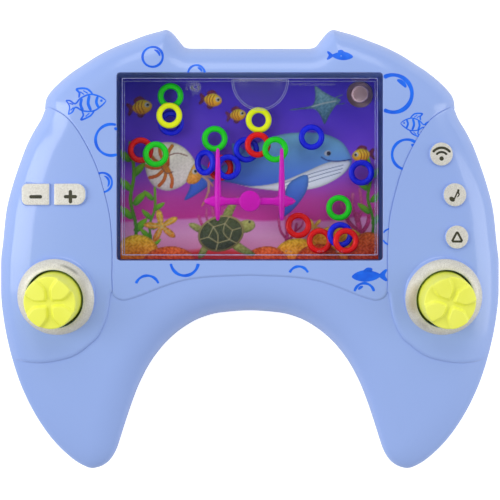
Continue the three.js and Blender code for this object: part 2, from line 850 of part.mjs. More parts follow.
// One of the four raised quarters of a knob. It is drawn past the rim, where the cap trims it.
function petal() {
  const inner = petalGap / 2;
  const rim = knobTopRadius + petalBevel;
  const flare = inner + petalFlare;
  const rimFlat = Math.sqrt(rim ** 2 - flare ** 2);
  const turnPoint = rimFlat - petalFlare;
  const start = Math.asin(flare / rim);
  const steps = 3;
  const points = [new THREE.Vector2(inner, inner), new THREE.Vector2(turnPoint, inner)];
  for (let i = 0; i <= steps; i += 1) {
    const angle = start + (Math.PI / 2 - 2 * start) * i / steps;
    points.push(new THREE.Vector2(rim * Math.cos(angle), rim * Math.sin(angle)));
  }
  points.push(new THREE.Vector2(inner, turnPoint));
  return solidFrom(new THREE.ExtrudeGeometry(new THREE.Shape(points), {
    depth: petalHeight,
    bevelThickness: petalBevel,
    bevelSize: petalBevel,
    bevelOffset: -petalBevel,
    bevelSegments: 1,
  }));
}

// A rounded edge of the knob's top at a height
function knobEdge(height) {
  return [
    [knobTopRadius, height - knobBevel],
    [knobTopRadius - knobBevel / 3, height - knobBevel / 3],
    [knobTopRadius - knobBevel, height],
    [0, height],
  ];
}

function knob() {
  const bore = knobRadius - knobWall;
  const topBore = knobTopRadius - knobWall;
  const foot = -collarDepth - clearance;
  const under = knobHeight - knobTopThickness;
  const petalFoot = knobHeight - petalBevel;
  const body = solidFrom(turned([
    [0, under], [topBore - knobBevel, under], [topBore, under - knobBevel],
    [bore, foot - knobFlangeThickness], [knobFlangeRadius, foot - knobFlangeThickness],
    [knobFlangeRadius, foot], [knobRadius, foot], ...knobEdge(knobHeight),
  ]));
  const cap = solidFrom(turned([
    [0, petalFoot], [knobTopRadius, petalFoot], ...knobEdge(knobHeight + petalHeight),
  ]));
  const petals = [0, 1, 2, 3].map((quarter) => {
    const turn = new THREE.Matrix4().makeRotationZ(quarter * Math.PI / 2);
    turn.setPosition(0, 0, petalFoot);
    return petal().transform(turn.elements);
  });
  return geometryFrom(body.add(joined(petals).intersect(cap)));
}

// The way from the bellows to the tank, seen in the pump frame: square to the pump's axis
function spoutDirection(side) {
  const towards = new THREE.Vector3(-side, 0, 0);
  const inverse = pumpMatrix(side).invert();
  towards.transformDirection(inverse);
  towards.z = 0;
  return towards.normalize();
}

function bellows(side) {
  const seat = -bellowsDepth;
  const top = knobHeight - knobTopThickness - clearance;
  const shoulder = seat + bellowsFlangeThickness;
  const neck = -hoseDepth + hoseRadius;
  const domeFoot = top - bellowsFold * 3;
  const profile = [
    [0, seat], [bellowsFlangeRadius, seat], [bellowsFlangeRadius, shoulder],
    [bellowsRadius, shoulder], [bellowsRadius, neck],
  ];
  const pitch = (domeFoot - neck) / bellowsFolds;
  for (let i = 0; i < bellowsFolds; i += 1) {
    profile.push([bellowsRadius - bellowsFold * 2, neck + pitch * (i + 0.5)]);
    profile.push([bellowsRadius, neck + pitch * (i + 1)]);
  }
  profile.push([bellowsRadius * 0.6, top], [0, top]);
  const body = solidFrom(turned(profile, smallSides));
  const direction = spoutDirection(side);
  const bar = roundBar(spoutRadius, 0, bellowsRadius + bellowsSpoutLength);
  bar.applyQuaternion(new THREE.Quaternion().setFromUnitVectors(new THREE.Vector3(0, 0, 1), direction));
  bar.translate(0, 0, -hoseDepth);
  return geometryFrom(body.add(solidFrom(bar)));
}

function hose(side) {
  const direction = spoutDirection(side);
  const matrix = pumpMatrix(side);
  const out = (length) => direction.clone()
    .multiplyScalar(length)
    .add(new THREE.Vector3(0, 0, -hoseDepth))
    .applyMatrix4(matrix);
  const end = tankBottom - flangeReach - clearance;
  const start = bellowsRadius + clearance;
  const path = new THREE.CatmullRomCurve3([
    out(start),
    out(start + spoutLength),
    new THREE.Vector3(side * hoseX, end - hoseStraightLength, hoseHeight)
      .lerp(out(start + spoutLength), 1 / 3),
    new THREE.Vector3(side * hoseX, end - spoutLength + clearance, hoseHeight),
    new THREE.Vector3(side * hoseX, end - spoutLength / 2, hoseHeight),
    new THREE.Vector3(side * hoseX, end, hoseHeight),
  ]);
  const sides = 8;
  const circle = (radius) => Array.from({ length: sides }, (_, i) => {
    const angle = i * 2 * Math.PI / sides;
    return new THREE.Vector2(radius * Math.cos(angle), radius * Math.sin(angle));
  });
  const section = new THREE.Shape(circle(hoseRadius));
  section.holes.push(new THREE.Path(circle(hoseBoreRadius)));
  const steps = 10;
  return new THREE.ExtrudeGeometry(section, { steps, extrudePath: path, bevelEnabled: false });
}

// Materials

function plastic(color, roughness, opacity = 1) {
  return new THREE.MeshStandardMaterial({
    color,
    roughness,
    metalness: 0,
    opacity,
    transparent: opacity < 1,
  });
}

const housingPlastic = plastic('#93a6e6', 0.32);
const knobPlastic = plastic('#e9f52c', 0.4);
const clearPlastic = plastic('#dfe8f2', 0.06, 0.3);
const softPlastic = plastic('#e6e8e4', 0.5);
const pegPlastic = plastic('#be00aa', 0.3);
const cardPaper = plastic('#6a3fae', 0.6);
const screwSteel = new THREE.MeshStandardMaterial({ color: '#b9bbbe', roughness: 0.3, metalness: 1 });
const ringPlastics = {
  green: plastic('#1fc81f', 0.35),
  yellow: plastic('#e2f20a', 0.35),
  blue: plastic('#0a20c8', 0.35),
  red: plastic('#cc0c0c', 0.35),
};

// The assembly

const toy = new THREE.Group();

function place(parent, name, geometry, material) {
  const mesh = new THREE.Mesh(geometry, material);
  mesh.name = name;
  parent.add(mesh);
  return mesh;
}

place(toy, 'rear_shell', geometryFrom(rearShell()), housingPlastic);
place(toy, 'front_shell', geometryFrom(frontShell()), housingPlastic);
place(toy, 'centre_bezel', geometryFrom(centreBezel()), housingPlastic);
place(toy, 'tank_front', geometryFrom(tankFront()), clearPlastic);
place(toy, 'tank_back', geometryFrom(tankBack()), clearPlastic);
place(toy, 'picture_card', geometryFrom(pictureCard()), cardPaper);
place(toy, 'peg_frame', pegFrame(), pegPlastic);
place(toy, 'filler_plug', fillerPlug(), softPlastic);

const ringOuterRadius = ringRadius + ringTubeRadius;
const ringReach = tankWall + ringOuterRadius + clearance;
const ringRoomWidth = tankWidth - 2 * ringReach;
const ringRoomHeight = tankTop - tankBottom - 2 * ringReach;
const ringPitch = 2 * ringTubeRadius + clearance;
let ringCount = 0;

for (const { placeShares: [across, up], ringShares } of ringHeaps) {
  for (const [color, dx, dy, level, tilt] of ringShares) {
    ringCount += 1;
    const name = `ring_${String(ringCount).padStart(2, '0')}`;
    const mesh = place(toy, name, ring(), ringPlastics[color]);
    mesh.position.set(
      across * ringRoomWidth / 2 + dx * ringOuterRadius,
      tankBottom + ringReach + up * ringRoomHeight + dy * ringOuterRadius,
      tankBackHeight + clearance + ringTubeRadius + level * ringPitch,
    );
    mesh.rotation.y = THREE.MathUtils.degToRad(tilt);
  }
}

for (const [side, word] of [[-1, 'left'], [1, 'right']]) {
  const pump = new THREE.Group();
  pump.applyMatrix4(pumpMatrix(side));
  toy.add(pump);
  const cap = place(pump, `${word}_knob`, knob(), knobPlastic);
  cap.rotation.z = THREE.MathUtils.degToRad(knobTurns[word]);
  place(pump, `${word}_pump_bulb`, bellows(side), softPlastic);
  place(toy, `${word}_hose`, hose(side), softPlastic);
  for (const [where, [x, y]] of Object.entries(screwPlaces)) {
    place(toy, `screw_${where}_${word}`, screw(), screwSteel).position.set(side * x, y, 0);
  }
}

export default toy;
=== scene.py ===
import math

import bmesh
import bpy
import numpy as np
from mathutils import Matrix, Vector


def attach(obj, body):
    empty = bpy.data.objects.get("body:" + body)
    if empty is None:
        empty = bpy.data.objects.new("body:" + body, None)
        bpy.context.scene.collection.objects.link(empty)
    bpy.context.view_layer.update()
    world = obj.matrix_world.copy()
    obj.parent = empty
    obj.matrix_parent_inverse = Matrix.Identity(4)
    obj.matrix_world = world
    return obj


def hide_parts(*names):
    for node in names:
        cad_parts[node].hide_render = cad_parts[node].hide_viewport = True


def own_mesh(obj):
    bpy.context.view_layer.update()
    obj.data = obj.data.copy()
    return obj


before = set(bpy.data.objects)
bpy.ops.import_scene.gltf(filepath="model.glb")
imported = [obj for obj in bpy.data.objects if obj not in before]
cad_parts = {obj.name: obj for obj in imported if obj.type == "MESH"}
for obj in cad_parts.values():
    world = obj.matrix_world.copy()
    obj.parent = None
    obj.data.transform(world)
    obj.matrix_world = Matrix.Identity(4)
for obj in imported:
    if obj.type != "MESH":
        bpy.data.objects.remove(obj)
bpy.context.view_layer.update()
mm = 0.001
bothSides = ((-1, "left"), (1, "right"))
print("frame loaded")

# Camera and stage

photoCamera = {"middle": (0.07, -0.33), "height": 730.0, "seenWidth": 166.0, "seenAt": 10.0, "sensor": 36.0}


def setCamera(spec):
    camera = bpy.data.cameras.new("camera")
    camera.sensor_width = spec["sensor"]
    camera.lens = spec["sensor"] * (spec["height"] - spec["seenAt"]) / spec["seenWidth"]
    camera.clip_start, camera.clip_end = 0.01, 20
    seat = bpy.data.objects.new("camera", camera)
    x, y = spec["middle"]
    seat.location = (x * mm, y * mm, spec["height"] * mm)
    bpy.context.collection.objects.link(seat)
    bpy.context.scene.camera = seat


setCamera(photoCamera)

# Curves


def smoothValues(knots, values, at):
    # Cubic pieces between knots. The slope at a knot is the harmonic mean of the slopes beside it,
    # or none where they differ in sign, so the curve never swings past its points.
    knots, values = np.asarray(knots, float), np.asarray(values, float)
    rise = np.diff(values) / np.diff(knots)
    product, total = rise[:-1] * rise[1:], rise[:-1] + rise[1:]
    turning = product <= 0
    inner = np.where(turning, 0, 2 * product / np.where(turning, 1, total))
    slopes = np.concatenate([[0], inner, rise[-1:]])
    k = np.clip(np.searchsorted(knots, at, side="left"), 1, len(knots) - 1)
    width = knots[k] - knots[k - 1]
    t = np.clip((at - knots[k - 1]) / width, 0, 1)
    start, end = values[k - 1], values[k]
    lead, trail = width * slopes[k - 1], width * slopes[k]
    return (
        start * (1 + 2 * t) * (1 - t) ** 2 + end * t**2 * (3 - 2 * t)
        + lead * t * (1 - t) ** 2 + trail * t**2 * (t - 1)
    )


def throughPoints(points, perSpan=12):
    # Catmull-Rom curve: in each span a cubic whose end slopes are half the step between its neighbours
    p = np.asarray(points, float)
    before, after = np.vstack([p[:1], p[:-1]]), np.vstack([p[1:], p[-1:]])
    slopes = (after - before) / 2
    t = np.linspace(0, 1, perSpan, endpoint=False)[None, :, None]
    a, b = p[:-1, None], p[1:, None]
    curve = (
        a * (1 + 2 * t) * (1 - t) ** 2 + b * t**2 * (3 - 2 * t)
        + slopes[:-1, None] * t * (1 - t) ** 2 + slopes[1:, None] * t**2 * (t - 1)
    )
    return np.vstack([curve.reshape(-1, p.shape[1]), p[-1:]])


def smoothLoop(points, perSpan=8):
    # The same curve through a closed ring of points
    p = np.asarray(points, float)
    ring = np.vstack([p[-1:], p, p[:2]])
    return throughPoints(ring, perSpan)[perSpan:perSpan * (len(p) + 1)]


def lengthsAlong(path):
    return np.concatenate([[0], np.cumsum(np.linalg.norm(np.diff(path, axis=0), axis=1))])


def pointsAt(path, lengths):
    # The points at these lengths along a polyline
    along = lengthsAlong(path)
    return np.stack([np.interp(lengths, along, path[:, k]) for k in range(path.shape[1])], -1)


def lengthNear(path, point):
    return lengthsAlong(path)[np.argmin(np.linalg.norm(path - np.asarray(point), axis=1))]


def ramp(value):
    # Smooth step from 0 to 1
    t = np.clip(value, 0, 1)
    return t * t * (3 - 2 * t)


def quarterRound(value):
    # Rises like a quarter circle from 0 at 0 to 1 at 1
    t = 1 - np.clip(value, 0, 1)
    return np.sqrt(1 - t * t)


def fullTurn(count):
    # Even angles once round
    return np.linspace(0, 2 * np.pi, count, endpoint=False)


def unitRows(vectors):
    return vectors / np.linalg.norm(vectors, axis=1, keepdims=True)


def turnedBy(degrees):
    # The matrix that turns rows of x and y anticlockwise: cosine and sine over minus sine and cosine
    a = math.radians(degrees)
    return np.array([[math.cos(a), math.sin(a)], [-math.sin(a), math.cos(a)]])


def signedPower(value, power):
    # A power of a value's size, with the value's sign kept
    return np.sign(value) * np.abs(value) ** power


# Meshes


def gridFaces(rows, columns, closed=False):
    # The corner numbers of each cell of a grid, row by row; a closed grid joins its last row to its first
    i = np.arange(rows if closed else rows - 1)[:, None]
    j = np.arange(columns - 1)[None, :]
    a, b = i * columns + j, (i + 1) % rows * columns + j
    return np.stack([a, b, b + 1, a + 1], -1).reshape(-1, 4)


def grid(points, closed=False):
    rows, columns = points.shape[:2]
    return points.reshape(-1, 3), gridFaces(rows, columns, closed)


def shell(outer, inner, closed=False, keep=None):
    # Two sheets on the same grid, and a strip round each border between them
    rows, columns = outer.shape[:2]
    count = rows * columns
    cells = gridFaces(rows, columns, closed)
    if keep is not None:
        cells = cells[keep.reshape(-1)]
    start, end = cells, np.roll(cells, -1, axis=1)
    border = ~np.isin(start * count + end, end * count + start)
    a, b = start[border], end[border]
    sides = np.stack([b, a, a + count, b + count], -1)
    points = np.concatenate([outer.reshape(-1, 3), inner.reshape(-1, 3)])
    return points, np.concatenate([cells, cells[:, ::-1] + count, sides])


def turned(profile, steps=96):
    # A profile of radius and height carried round the Z axis: x = r cos a, y = r sin a, z = h
    profile = np.asarray(profile, float)
    angles = fullTurn(steps)[:, None]
    radius, height = profile[None, :, 0], profile[None, :, 1]
    return grid(np.stack([
        radius * np.cos(angles), radius * np.sin(angles), np.broadcast_to(height, (steps, len(profile))),
    ], -1), closed=True)


def rounded(profile, size, steps=5):
    # Each inner corner of a profile replaced by a quadratic curve that starts and ends size away from it
    p = np.asarray(profile, float)
    t = np.linspace(0, 1, steps)[:, None]
    parts = [p[:1]]
    for before, corner, after in zip(p[:-2], p[1:-1], p[2:]):
        back, ahead = before - corner, after - corner
        reach = min(size, np.linalg.norm(back) / 2.1, np.linalg.norm(ahead) / 2.1)
        a = corner + back / np.linalg.norm(back) * reach
        b = corner + ahead / np.linalg.norm(ahead) * reach
        parts.append(a * (1 - t) ** 2 + corner * 2 * t * (1 - t) + b * t**2)
    return np.vstack([*parts, p[-1:]])


def tube(path, radius, sides=24, ends=True):
    # A circle carried along a path. Its two directions are square to the path, the first of them also square
    # to one fixed direction.
    path = np.asarray(path, float)
    radius = np.broadcast_to(np.asarray(radius, float), (len(path),))
    along = unitRows(np.gradient(path, axis=0))
    first = unitRows(np.cross(along, (0.3, 0.2, 0.93)))
    second = np.cross(along, first)
    angle = fullTurn(sides)[None, :, None]
    around = first[:, None] * np.cos(angle) + second[:, None] * np.sin(angle)
    rings = path[:, None] + around * radius[:, None, None]
    if ends:
        caps = [np.broadcast_to(path[k], (1, sides, 3)) for k in (0, -1)]
        rings = np.concatenate([caps[0], rings, caps[1]])
    return grid(rings.transpose(1, 0, 2), closed=True)


def loops(rings, capped=True):
    # Closed rings of points laid one after another, each end closed to its middle
    rings = np.asarray(rings, float)
    if capped:
        middles = [np.broadcast_to(rings[k].mean(axis=0), rings[k].shape)[None] for k in (0, -1)]
        rings = np.concatenate([middles[0], rings, middles[1]])
    return grid(rings.transpose(1, 0, 2), closed=True)


def roundedLoop(left, right, bottom, top, corners, steps=8):
    # A rectangle with a quarter circle at each corner, from the upper right one anticlockwise
    corners = np.broadcast_to(corners, (4,))
    angle = np.linspace(0, np.pi / 2, steps)
    signs = [(1, 1), (-1, 1), (-1, -1), (1, -1)]
    parts = []
    for k, ((sx, sy), r) in enumerate(zip(signs, corners)):
        cx = right - r if sx > 0 else left + r
        cy = top - r if sy > 0 else bottom + r
        turn = angle + k * np.pi / 2
        parts.append(np.stack([cx + r * np.cos(turn), cy + r * np.sin(turn)], -1))
    return np.vstack(parts)


def atHeight(points, height):
    # Points of x and y with one height for all, or one each
    return np.concatenate([points, np.broadcast_to(height, points.shape[:-1])[..., None]], -1)


def together(parts):
    points, faces, count = [], [], 0
    for p, f in parts:
        points.append(p)
        faces.append(f + count)
        count += len(p)
    return np.concatenate(points), np.concatenate(faces)


def moved(part, origin=(0, 0, 0), basis=None):
    points = part[0] if basis is None else part[0] @ np.asarray(basis).T
    return points + np.asarray(origin), part[1]


def leaning(axis):
    # The smallest turn that takes Z to an axis: I + K + K K / (1 + cosine), K from the cross product
    axis = np.asarray(axis, float) / np.linalg.norm(axis)
    x, y = -axis[1], axis[0]
    k = np.array([[0, 0, y], [0, 0, -x], [-y, x, 0]])
    return np.eye(3) + k + k @ k / (1 + axis[2])


def piece(name, part, material, body="root", stands=(), sharp=38, colours=None):
    # Puts a part's points and faces into a mesh in metres, closes its poles and points its faces outwards
    points, faces = part
    mesh = bpy.data.meshes.new(name)
    mesh.from_pydata(points * mm, [], faces)
    if colours is not None:
        paint = mesh.color_attributes.new("paint", "FLOAT_COLOR", "POINT")
        paint.data.foreach_set("color", colours.astype(np.float32).ravel())
    work = bmesh.new()
    work.from_mesh(mesh)
    bmesh.ops.remove_doubles(work, verts=work.verts, dist=0.5e-6)
    bmesh.ops.recalc_face_normals(work, faces=work.faces)
    work.to_mesh(mesh)
    work.free()
    mesh.shade_smooth()
    mesh.set_sharp_from_angle(angle=math.radians(sharp))
    mesh.materials.append(material)
    item = bpy.data.objects.new(name, mesh)
    bpy.context.collection.objects.link(item)
    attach(item, body)
    if stands:
        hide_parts(*stands)
    return item


# Materials


def linear(colour):
    # From the 0 to 255 of a screen to the light that it stands for
    c = np.asarray(colour, float) / 255
    return np.where(c <= 0.04045, c / 12.92, ((c + 0.055) / 1.055) ** 2.4)


def rgba(colour):
    return (*linear(colour), 1.0)


def newMaterial(name):
    material = bpy.data.materials.new(name)
    material.use_nodes = True
    tree = material.node_tree
    tree.nodes.clear()
    output = tree.nodes.new("ShaderNodeOutputMaterial")
    return material, tree, output


def add(tree, kind, values=(), links=(), **settings):
    node = tree.nodes.new(kind)
    for key, value in settings.items():
        setattr(node, key, value)
    for key, value in dict(values).items():
        node.inputs[key].default_value = value
    for key, socket in dict(links).items():
        tree.links.new(socket, node.inputs[key])
    return node


def objectPlace(tree):
    return add(tree, "ShaderNodeTexCoord").outputs["Object"]


def noise(tree, scale, detail=3, roughness=0.5, place=None):
    source = objectPlace(tree) if place is None else place
    return add(
        tree, "ShaderNodeTexNoise",
        {"Scale": scale, "Detail": detail, "Roughness": roughness}, {"Vector": source},
    ).outputs["Fac"]


def steps(tree, factor, stops):
    node = add(tree, "ShaderNodeValToRGB", links={"Fac": factor})
    elements = node.color_ramp.elements
    for k, (place, colour) in enumerate(stops):
        element = elements[k] if k < 2 else elements.new(place)
        element.position = place
        element.color = colour if len(colour) == 4 else (*colour, 1)
    return node.outputs["Color"]


def grey(value):
    return (value, value, value, 1)


def mixColour(tree, factor, first, second):
    # Two colours blended by a factor; each of the three is a socket or a value
    node = add(tree, "ShaderNodeMix", data_type="RGBA")
    for socket, value in zip((node.inputs[0], node.inputs[6], node.inputs[7]), (factor, first, second)):
        if isinstance(value, bpy.types.NodeSocket):
            tree.links.new(value, socket)
        else:
            socket.default_value = value
    return node.outputs[2]


def mouldedPlastic(name, spec):
    # Base colour drifting slowly between two near shades, faint flow marks and hairline scratches
    material, tree, output = newMaterial(name)
    place = objectPlace(tree)
    drift = steps(tree, noise(tree, spec.get("drift", 14), 2, 0.5, place), [
        (0.35, rgba(spec["dark"])), (0.65, rgba(spec["light"])),
    ])
    fine = noise(tree, spec.get("grain", 2200), 3, 0.6, place)
    stretched = add(tree, "ShaderNodeMapping", {"Scale": (900, 60, 900), "Rotation": (0, 0, 0.7)},
                    {"Vector": place}).outputs["Vector"]
    scratches = noise(tree, 1.0, 4, 0.7, stretched)
    rough = spec["rough"]
    roughness = steps(tree, scratches, [(0.3, grey(rough * 0.94)), (0.7, grey(rough * 1.07))])
    bump = add(tree, "ShaderNodeBump", {"Strength": spec.get("bump", 0.05), "Distance": 0.0002},
               {"Height": fine})
    shader = add(tree, "ShaderNodeBsdfPrincipled", {
        "Specular IOR Level": spec.get("specular", 0.5),
        "Coat Weight": spec.get("coat", 0.0),
        "Coat Roughness": 0.08,
        "Subsurface Weight": spec.get("milk", 0.0),
        "Subsurface Radius": (0.004, 0.004, 0.004),
        "Subsurface Scale": 0.5,
    }, {"Base Color": drift, "Roughness": roughness, "Normal": bump.outputs["Normal"]})
    tree.links.new(shader.outputs["BSDF"], output.inputs["Surface"])
    return material


def clearPlastic(name, spec):
    # Light goes straight through a faint tint; a share of it is mirrored where it comes in, more at a slant
    material, tree, output = newMaterial(name)
    place = objectPlace(tree)
    gloss = add(tree, "ShaderNodeBsdfGlossy", {"Color": (1, 1, 1, 1)}, {
        "Roughness": steps(tree, noise(tree, 160, 4, 0.6, place), [
            (0.35, grey(spec["rough"] * 0.7)), (0.65, grey(spec["rough"] * 1.4)),
        ]),
    })
    through = add(tree, "ShaderNodeBsdfTransparent", {"Color": (*spec["tint"], 1)})
    facing = add(tree, "ShaderNodeLayerWeight", {"Blend": spec["blend"]}).outputs["Fresnel"]
    leaving = add(tree, "ShaderNodeNewGeometry").outputs["Backfacing"]
    mirrored = steps(tree, leaving, [(0.4, grey(1)), (0.6, grey(0))])
    mirrored = add(tree, "ShaderNodeMath", links={0: mirrored, 1: facing}, operation="MULTIPLY").outputs[0]
    mix = add(tree, "ShaderNodeMixShader", links={0: mirrored, 1: through.outputs[0], 2: gloss.outputs[0]})
    # A pale diffuse veil: faint haze in the tank's plastic, and a painted highlight on the corner bars
    if spec.get("hazeAndGlint"):
        veil = add(tree, "ShaderNodeBsdfDiffuse", {"Color": rgba(spec["hazeAndGlintColour"])})
        amount = steps(tree, noise(tree, 300, 3, 0.6, place), [
            (0.3, grey(spec["hazeAndGlint"] * 0.6)), (0.7, grey(spec["hazeAndGlint"] * 1.3)),
        ])
        mix = add(tree, "ShaderNodeMixShader", links={0: amount, 1: mix.outputs[0], 2: veil.outputs[0]})
    tree.links.new(mix.outputs[0], output.inputs["Surface"])
    return material


def letLightThrough(item):
    # Clear pieces are seen, but light and the glow of what lies inside pass through them
    item.visible_shadow = False
    item.visible_diffuse = False


# Housing: outline and surfaces

housing = {
    "width": 165.0, "height": 145.4, "parting": 10.0, "face": 22.4, "wall": 1.8, "edgeRadius": 11.0,
    "edgeLand": 1.0, "edgePower": 2.2, "gap": 0.3, "seamGap": -0.3, "crownStart": 0.485, "crownFall": 4.5,
    "gripFallStart": 0.206, "gripFallBlend": 20.0, "gripFall": 0.1,
    "topEdge": [
        (0, 0.913), (0.24, 0.913), (0.262, 0.92), (0.281, 0.945), (0.313, 0.988), (0.333, 1),
        (0.361, 0.992), (0.41, 0.977), (0.474, 0.95), (0.538, 0.922), (0.603, 0.886), (0.667, 0.84),
        (0.715, 0.804), (0.764, 0.758), (0.796, 0.721), (0.82, 0.676), (0.824, 0.63), (0.868, 0.534),
        (0.893, 0.479), (0.921, 0.397), (0.953, 0.288), (0.977, 0.178), (0.993, 0.014), (1, -0.068),
    ],
    "lowerEdge": [
        (0, -0.28), (0.12, -0.29), (0.2, -0.315), (0.265, -0.356), (0.329, -0.416), (0.394, -0.507),
        (0.442, -0.607), (0.474, -0.699), (0.506, -0.808), (0.538, -0.918), (0.555, -0.952),
        (0.571, -0.972), (0.603, -0.993), (0.635, -1), (0.667, -0.988), (0.699, -0.967),
        (0.747, -0.922), (0.796, -0.863), (0.86, -0.758), (0.921, -0.616), (0.953, -0.507),
        (0.977, -0.397), (0.993, -0.288), (1, -0.178),
    ],
    "seam": [
        (0.805, 0.637), (0.796, 0.633), (0.739, 0.597), (0.696, 0.546), (0.657, 0.475), (0.625, 0.403),
        (0.6, 0.331), (0.582, 0.26), (0.566, 0.187), (0.556, 0.117), (0.55, -0.004), (0.551, -0.149),
        (0.544, -0.205), (0.525, -0.227), (0.499, -0.234), (0.468, -0.226), (0.424, -0.209),
        (0.361, -0.18), (0.297, -0.155), (0.234, -0.138), (0.141, -0.127), (0, -0.121),
    ],
}
halfWidth, halfHeight = housing["width"] / 2, housing["height"] / 2
halves = np.array([halfWidth, halfHeight])


def edgeY(points, x):
    # The outline's height over x, smooth in the angle whose sine is x as a share of the half width
    points = np.asarray(points)
    angle = np.arcsin(np.minimum(1, np.abs(x) / halfWidth))
    return smoothValues(np.arcsin(points[:, 0]), points[:, 1], angle) * halfHeight


def outlineAngles(count):
    # Even angles whose sines are shares of the half width, closer together at the steps and the horns
    near = np.arcsin(np.linspace(0.816, 0.828, 24))
    horn = np.arcsin(np.linspace(0.24, 0.36, 40))
    return np.unique(np.concatenate([np.linspace(-np.pi / 2, np.pi / 2, count), near, -near, horn, -horn]))


def wholeOutline():
    # The lower edge from left to right and the upper one back
    x = halfWidth * np.sin(outlineAngles(560))
    low = np.stack([x, edgeY(housing["lowerEdge"], x)], -1)
    high = np.stack([x, edgeY(housing["topEdge"], x)], -1)[::-1]
    return np.vstack([low, high])


outline = wholeOutline()


def nearestEdge(points, path, closed=True):
    # Distance from each point to a polyline, the nearest place on it and the direction to its left
    start = path
    step = np.roll(path, -1, axis=0) - path
    if not closed:
        start, step = path[:-1], path[1:] - path[:-1]
    size = np.maximum((step**2).sum(-1), 1e-12)
    distance, place, left = [], [], []
    for block in np.array_split(points, max(1, len(points) // 3000)):
        away = block[:, None] - start[None]
        t = np.clip((away * step[None]).sum(-1) / size, 0, 1)
        rest = away - t[..., None] * step[None]
        squared = (rest**2).sum(-1)
        k = squared.argmin(1)
        n = np.arange(len(block))
        distance.append(np.sqrt(squared[n, k]))
        place.append(block - rest[n, k])
        left.append(np.stack([-step[k, 1], step[k, 0]], -1) / np.sqrt(size[k])[:, None])
    return np.concatenate(distance), np.concatenate(place), np.concatenate(left)


def edgeRound(distance):
    # Superellipse rise from 0 on the outline to 1 at the edge radius
    left = 1 - np.clip(distance / housing["edgeRadius"], 0, 1)
    return (1 - left ** housing["edgePower"]) ** (1 / housing["edgePower"])


def plateau(x, y):
    # The face, less a fall with the square of the way out to the sides and a blended fall down the grips
    outward = np.maximum(0, np.abs(x) / halfWidth - housing["crownStart"]) / (1 - housing["crownStart"])
    down = np.maximum(0, housing["gripFallStart"] * halfHeight - y)
    blend = housing["gripFallBlend"]
    fall = housing["gripFall"] * (np.hypot(down, blend) - blend)
    return housing["face"] - housing["crownFall"] * outward**2 - fall


frontFoot = housing["parting"] + housing["edgeLand"]
rearFoot = housing["parting"] - housing["edgeLand"]
frontStart = housing["parting"] + housing["gap"] / 2
rearEnd = housing["parting"] - housing["gap"] / 2


def frontHeight(x, y, distance):
    # From the foot on the outline up to the plateau, by the round of the distance from the outline
    return frontFoot + (plateau(x, y) - frontFoot) * edgeRound(distance)


def frontSheets(flatPoints, drop):
    # The outer sheet of a front piece over a grid of x and y, less a drop at its edges, and the
    # inner sheet a wall under it, pulled in by a wall where it would come nearer to the outline
    shape = flatPoints.shape[:2]
    p = flatPoints.reshape(-1, 2)
    distance, nearest, inward = nearestEdge(p, outline)
    wall = housing["wall"]
    height = frontHeight(p[:, 0], p[:, 1], distance) + drop.reshape(-1)
    near = distance < wall
    inside = np.where(near[:, None], nearest + inward * wall, p)
    under = frontHeight(inside[:, 0], inside[:, 1], np.maximum(distance, wall) - wall) - wall
    under = np.maximum(frontStart, np.minimum(under, height - wall * 0.6))
    under = np.where(near, frontStart, under)
    outer, inner = atHeight(p, height).reshape(*shape, 3), atHeight(inside, under).reshape(*shape, 3)
    return outer, inner, distance.reshape(shape)


def seamPath(growth=0.0):
    # Left half of the seam, from the step in the outline to the middle, pushed outwards by a growth
    points = throughPoints(np.asarray(housing["seam"]) * halves * (-1, 1), 14)
    along = unitRows(np.gradient(points, axis=0))
    outwards = np.stack([along[:, 1], -along[:, 0]], -1)
    outwards[0] = outwards[-1] = (0, -1)
    return points + outwards * growth


housingPlastic = mouldedPlastic("housing_plastic", {
    "dark": (148, 175, 236), "light": (156, 183, 244), "rough": 0.3, "specular": 0.5, "bump": 0.03,
    "coat": 0.5, "drift": 9,
})


# Front shell: wings, grips and the bridge, with a raised pad round each collar

frontShell = {
    "rows": 70, "upperLines": 84, "lowerLines": 104, "padRise": 0.75, "padEdge": 1.3, "seamRound": 0.02,
    "padArc": [  # lower edge of the left pad, from the seam to the outline
        (-45.3, -14.0), (-45.9, -17.5), (-46.9, -22.7), (-49.5, -28.5), (-52.7, -31.6), (-56.9, -34.7),
        (-61.1, -36.3), (-67.9, -37.5), (-74.2, -37.2), (-78.3, -35.9),
    ],
    "grip": [  # places on the seam, and the places on the outline that lie across from them
        ((-43.6, -16.4), (-52.4, -72.7)), ((-38.6, -16.4), (-37.0, -47.0)), ((-24.5, -11.3), (-22.5, -26.5)),
    ],
    "holeRadius": 11.5,
}

pump = {
    "place": (63.855, -16.3575), "rise": 3.2, "lean": (0.14, 0.17), "collarRadius": 12.9,
    "collarBore": 9.6, "fall": 2.4, "depth": 6.4,
}


def pumpFrame(side):
    # Middle of a collar's top, the turn that leans Z to its axis, and that axis
    x, y = pump["place"]
    leanX, leanY = pump["lean"]
    axis = np.array([side * leanX, -leanY, 1])
    top = plateau(x, y) + pump["rise"]
    return np.array([side * x, y, top]), leaning(axis), axis / np.linalg.norm(axis)


def rightOf(grid):
    # The mirror image of a left half, its lines in the other order, without the line in the middle
    mirrored = grid[::-1].copy()
    mirrored[..., 0] *= -1
    return mirrored[1:]


